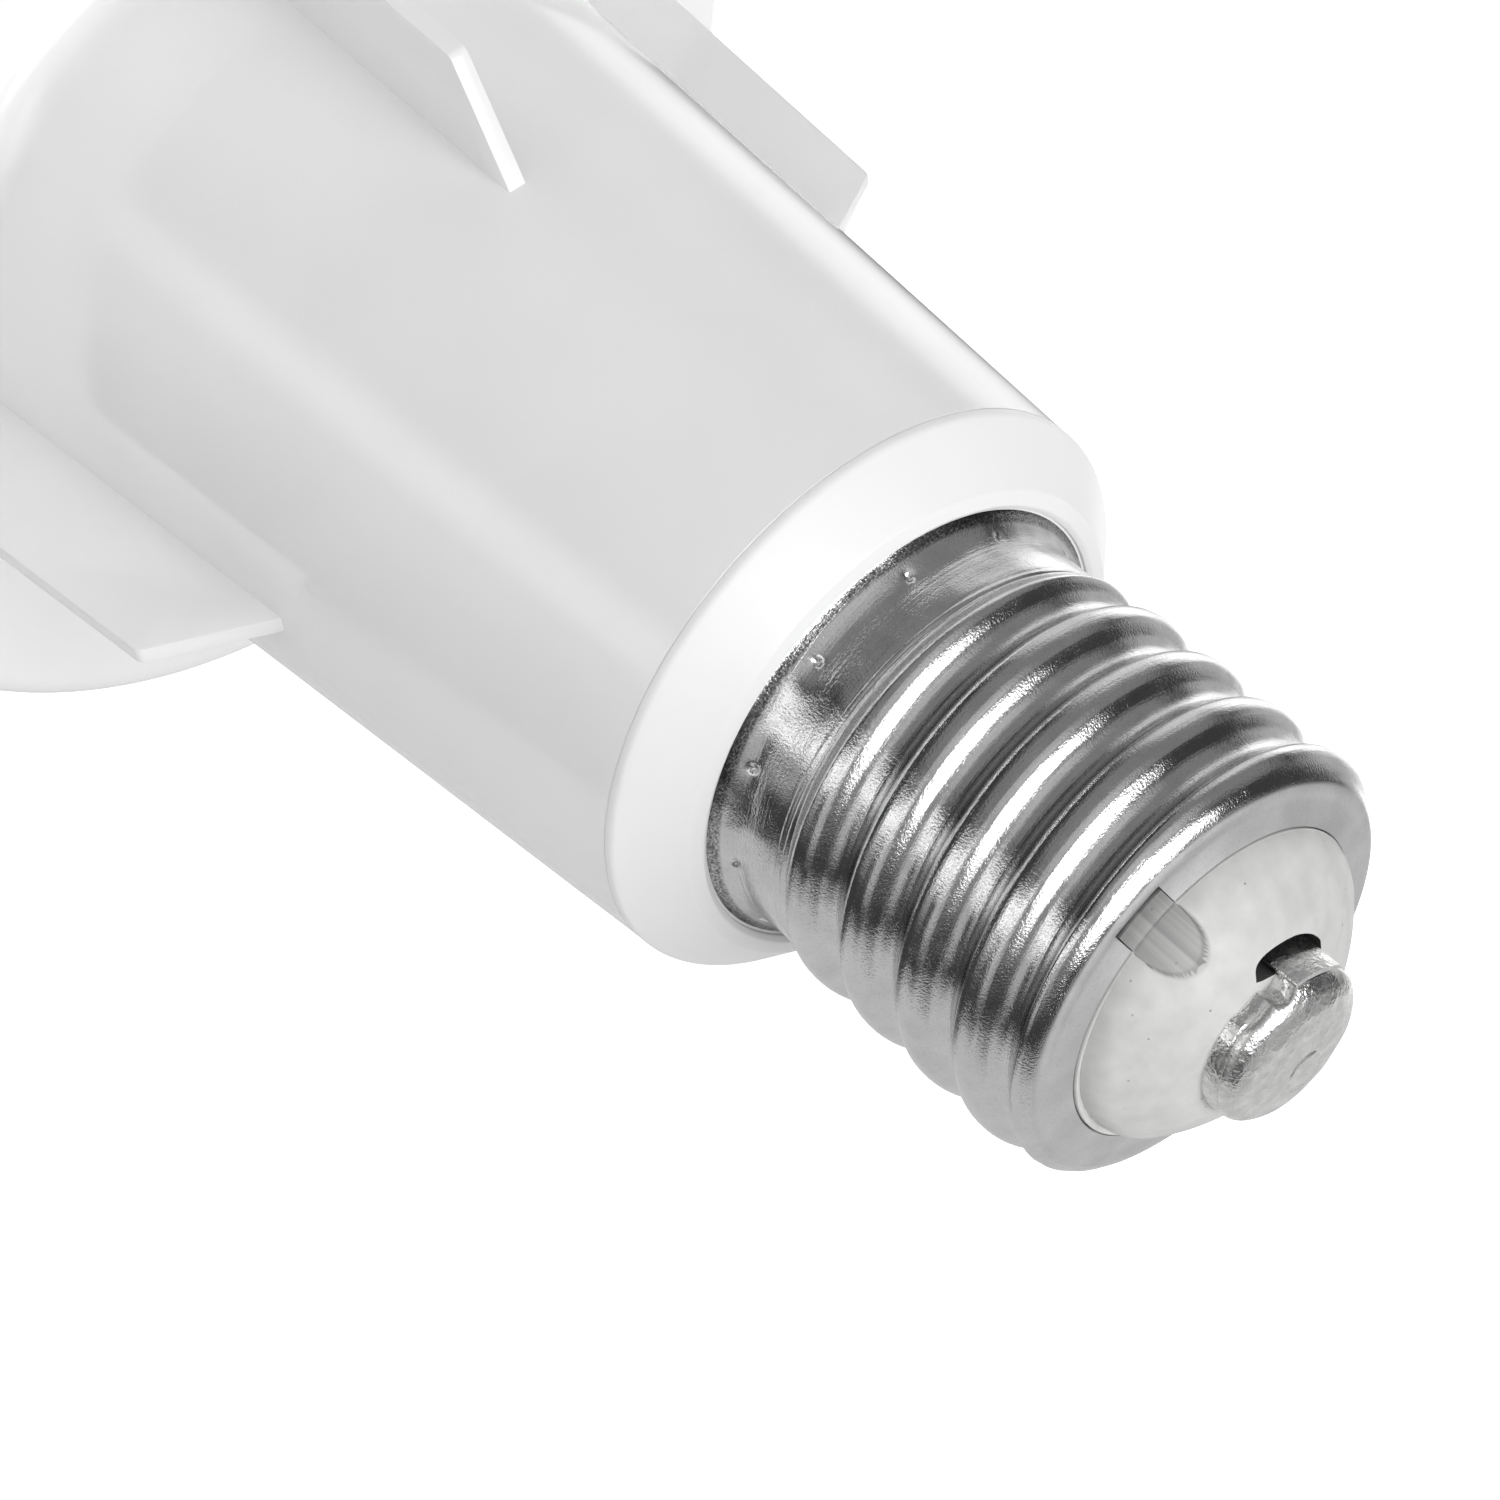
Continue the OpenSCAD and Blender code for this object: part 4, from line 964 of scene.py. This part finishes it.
# Choke and transformer. Cores of sintered ferrite, ground at the joint, with enamelled copper wire on
# the choke and yellow polyester tape over the transformer's winding.
def wound(name, low, high, turn_mm, roughness, metallic=0.0):
    """Wire or tape in even turns along the lamp's axis: a dark line between turns and a round back."""
    material, tree, shader, place = new_material(name, Metallic=metallic, Roughness=roughness)
    bands = add_node(
        tree, "ShaderNodeTexWave",
        {"Vector": place, "Scale": math.tau / 20 / (turn_mm * MM), "Distortion": 0.4},
        wave_type="BANDS", bands_direction="Z",
    )
    tone = add_node(tree, "ShaderNodeValToRGB", {"Fac": bands.outputs["Fac"]})
    tone.color_ramp.elements[0].color = colour(low)
    tone.color_ramp.elements[1].position = 0.4
    tone.color_ramp.elements[1].color = colour(high)
    tree.links.new(tone.outputs["Color"], shader.inputs["Base Color"])
    bump = add_node(
        tree, "ShaderNodeBump",
        {"Strength": 0.6, "Distance": 0.2 * turn_mm * MM, "Height": bands.outputs["Fac"]},
    )
    tree.links.new(bump.outputs["Normal"], shader.inputs["Normal"])
    return material


ferrite = moulded("sintered_ferrite", "#3A3A3B", 0.6, 0.2, 0.02)
for name in ("choke_core", "transformer_core"):
    dress(nodes[name], ferrite)
dress(nodes["choke_winding"], wound("enamelled_copper", "#5A2C12", "#C67C44", 0.5, 0.3, 0.8))
dress(nodes["transformer_winding"], wound("polyester_tape", "#B99730", "#E3C24C", 8, 0.3))

# Leads. Stranded copper in extruded PVC: a brown and a blue one from the cap to the driver, and a pair
# on to the LED board.
for name, code, slot in (
    ("live_lead", "#553018", "brown_insulation"),
    ("neutral_lead", "#22489E", "blue_insulation"),
    ("dc_leads", "#B31D18", "red_insulation"),
):
    dress(nodes[name], moulded(f"{slot}_pvc", code, 0.38, 0.8, 0.02))

# Diffuser. A dome blow-moulded in opal polycarbonate, whose foot plugs into the housing's rim on the
# silicone bead. It hides the chips and looks evenly white.
DOME_BASE_R = HEAD_R - WALL / 4
DOME_S = rim_s + 0.6
DOME_FOOT_H = 10.0
DOME_H = 58.0
DOME_WALL = 1.6
DOME_POWER = 2.4
PLUG_DOME_R = HEAD_R - WALL - 0.2
LAND_S = rim_s - 4.8


def opal_line(depth, steps=72):
    """Half outline of the dome at a depth below its face, from its foot to the pole."""
    t = np.linspace(0, math.pi / 2, steps + 1)
    radius = (DOME_BASE_R - depth) * np.maximum(np.cos(t), 1e-9) ** (2 / DOME_POWER)
    height = (DOME_H - DOME_FOOT_H - depth) * np.sin(t) ** (2 / DOME_POWER)
    return np.stack([radius, DOME_S + DOME_FOOT_H + height], axis=-1)


dome_foot = [
    (PLUG_DOME_R - DOME_WALL, LAND_S, 0.3), (PLUG_DOME_R, LAND_S, 0.3), (PLUG_DOME_R, DOME_S, 0),
    (DOME_BASE_R, DOME_S, 0.3), (DOME_BASE_R, DOME_S + DOME_FOOT_H, 0),
]
diffuser_outline = np.concatenate([
    rounded(dome_foot)[:-1],
    opal_line(0),
    opal_line(DOME_WALL)[::-1],
    [(DOME_BASE_R - DOME_WALL, DOME_S + DOME_WALL / 2)],
])
diffuser = turned("diffuser_dome", diffuser_outline, sides=240)
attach(diffuser, "root")
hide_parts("diffuser")
dress(diffuser, moulded("opal_polycarbonate", "#F0EFEC", 0.3))

# Studio. A pale floor under the hanging lamp, which mirrors don't see and which is clear from below,
# so that the metal and the gloss show the room: dark, with white panels and a pale wall behind. To the
# camera the room and the floor are white.
FLOOR_HALF = 4
FLOOR_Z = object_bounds()[0][2]
floor_corners = [
    (-FLOOR_HALF, -FLOOR_HALF, FLOOR_Z), (FLOOR_HALF, -FLOOR_HALF, FLOOR_Z),
    (FLOOR_HALF, FLOOR_HALF, FLOOR_Z), (-FLOOR_HALF, FLOOR_HALF, FLOOR_Z),
]
floor_mesh = bpy.data.meshes.new("floor")
floor_mesh.from_pydata(floor_corners, [], [(0, 1, 2, 3)])
floor = bpy.data.objects.new("floor", floor_mesh)
bpy.context.scene.collection.objects.link(floor)
floor_paint, tree, shader, place = new_material("floor_paint", Roughness=0.8)
shader.inputs["Base Color"].default_value = colour("#E8E8E8")
shader.inputs["Emission Color"].default_value = (1, 1, 1, 1)
rays = add_node(tree, "ShaderNodeLightPath")
glow = add_node(
    tree, "ShaderNodeMath", {0: rays.outputs["Is Camera Ray"], 1: 0.6}, operation="MULTIPLY",
)
tree.links.new(glow.outputs[0], shader.inputs["Emission Strength"])
clear = add_node(tree, "ShaderNodeBsdfTransparent")
under = add_node(tree, "ShaderNodeNewGeometry").outputs["Backfacing"]
unseen = add_node(
    tree, "ShaderNodeMath", {0: rays.outputs["Is Glossy Ray"], 1: under}, operation="MAXIMUM",
)
mirrored = add_node(
    tree, "ShaderNodeMixShader", {0: unseen.outputs[0], 1: shader.outputs[0], 2: clear.outputs[0]},
)
tree.links.new(mirrored.outputs[0], tree.nodes["Material Output"].inputs["Surface"])
dress(floor, floor_paint)

ROOM = 0.058
PANELS = [
    # azimuth, elevation, turn, width and height per metre of distance, soft edge, brightness
    (-18, 77, 0, 0.62, 0.48, 0.2, 9.3),
    (20, 62, 0, 1.4, 0.9, 0.3, 0.28),
    (57, 0, 9, 0.28, 1.4, 0.1, 1.5),
    (79, 18, 0, 0.56, 0.8, 0.2, 0.5),
    (74, -33, 0, 0.5, 0.4, 0.15, 0.4),
    (172, 3, 0, 2.9, 1.95, 0.1, 0.6),
    (-148, 58, 0, 0.7, 0.5, 0.15, 0.35),
    (-115, -8, 0, 0.9, 1.0, 0.2, 0.5),
    (-120, -24, -25, 0.95, 0.35, 0.1, 0.65),
    (-84, -40, -15, 1.1, 0.6, 0.25, 0.75),
    (6, 27, 0, 1.1, 0.75, 0.2, 0.33),
    (-18, 0, 0, 3.2, 1.9, 0.35, 0.2),
]
world = bpy.data.worlds.new("studio")
bpy.context.scene.world = world
world.use_nodes = True
tree = world.node_tree
look = add_node(tree, "ShaderNodeTexCoord").outputs["Generated"]
light = add_node(tree, "ShaderNodeValue")
light.outputs[0].default_value = ROOM
for azimuth, elevation, turn, width, height, edge, brightness in PANELS:
    panel_axes = (
        Matrix.Rotation(math.radians(azimuth), 3, "Z")
        @ Matrix.Rotation(math.radians(-elevation), 3, "Y")
        @ Matrix.Rotation(math.radians(turn), 3, "X")
    )
    parts = []
    for axis in panel_axes.col:
        part = add_node(tree, "ShaderNodeVectorMath", {0: look, 1: axis}, operation="DOT_PRODUCT")
        parts.append(part.outputs["Value"])
    shade = add_node(tree, "ShaderNodeMath", {0: parts[0], 1: 0.01}, operation="GREATER_THAN")
    for part, size in ((parts[1], width), (parts[2], height)):
        slope = add_node(tree, "ShaderNodeMath", {0: part, 1: parts[0]}, operation="DIVIDE")
        off = add_node(tree, "ShaderNodeMath", {0: slope.outputs[0]}, operation="ABSOLUTE")
        inside = add_node(
            tree, "ShaderNodeMapRange",
            {"Value": off.outputs[0], "From Min": size / 2 + edge, "From Max": size / 2 - edge},
            interpolation_type="SMOOTHSTEP",
        )
        shade = add_node(
            tree, "ShaderNodeMath", {0: shade.outputs[0], 1: inside.outputs[0]}, operation="MULTIPLY",
        )
    light = add_node(
        tree, "ShaderNodeMath", {0: shade.outputs[0], 1: brightness, 2: light.outputs[0]},
        operation="MULTIPLY_ADD",
    )
rays = add_node(tree, "ShaderNodeLightPath")
seen = add_node(tree, "ShaderNodeMix", {0: rays.outputs["Is Camera Ray"], 2: light.outputs[0], 3: 1.0})
tree.nodes["Background"].inputs["Color"].default_value = (1, 1, 1, 1)
tree.links.new(seen.outputs[0], tree.nodes["Background"].inputs["Strength"])

bpy.context.scene.view_settings.view_transform = "Standard"
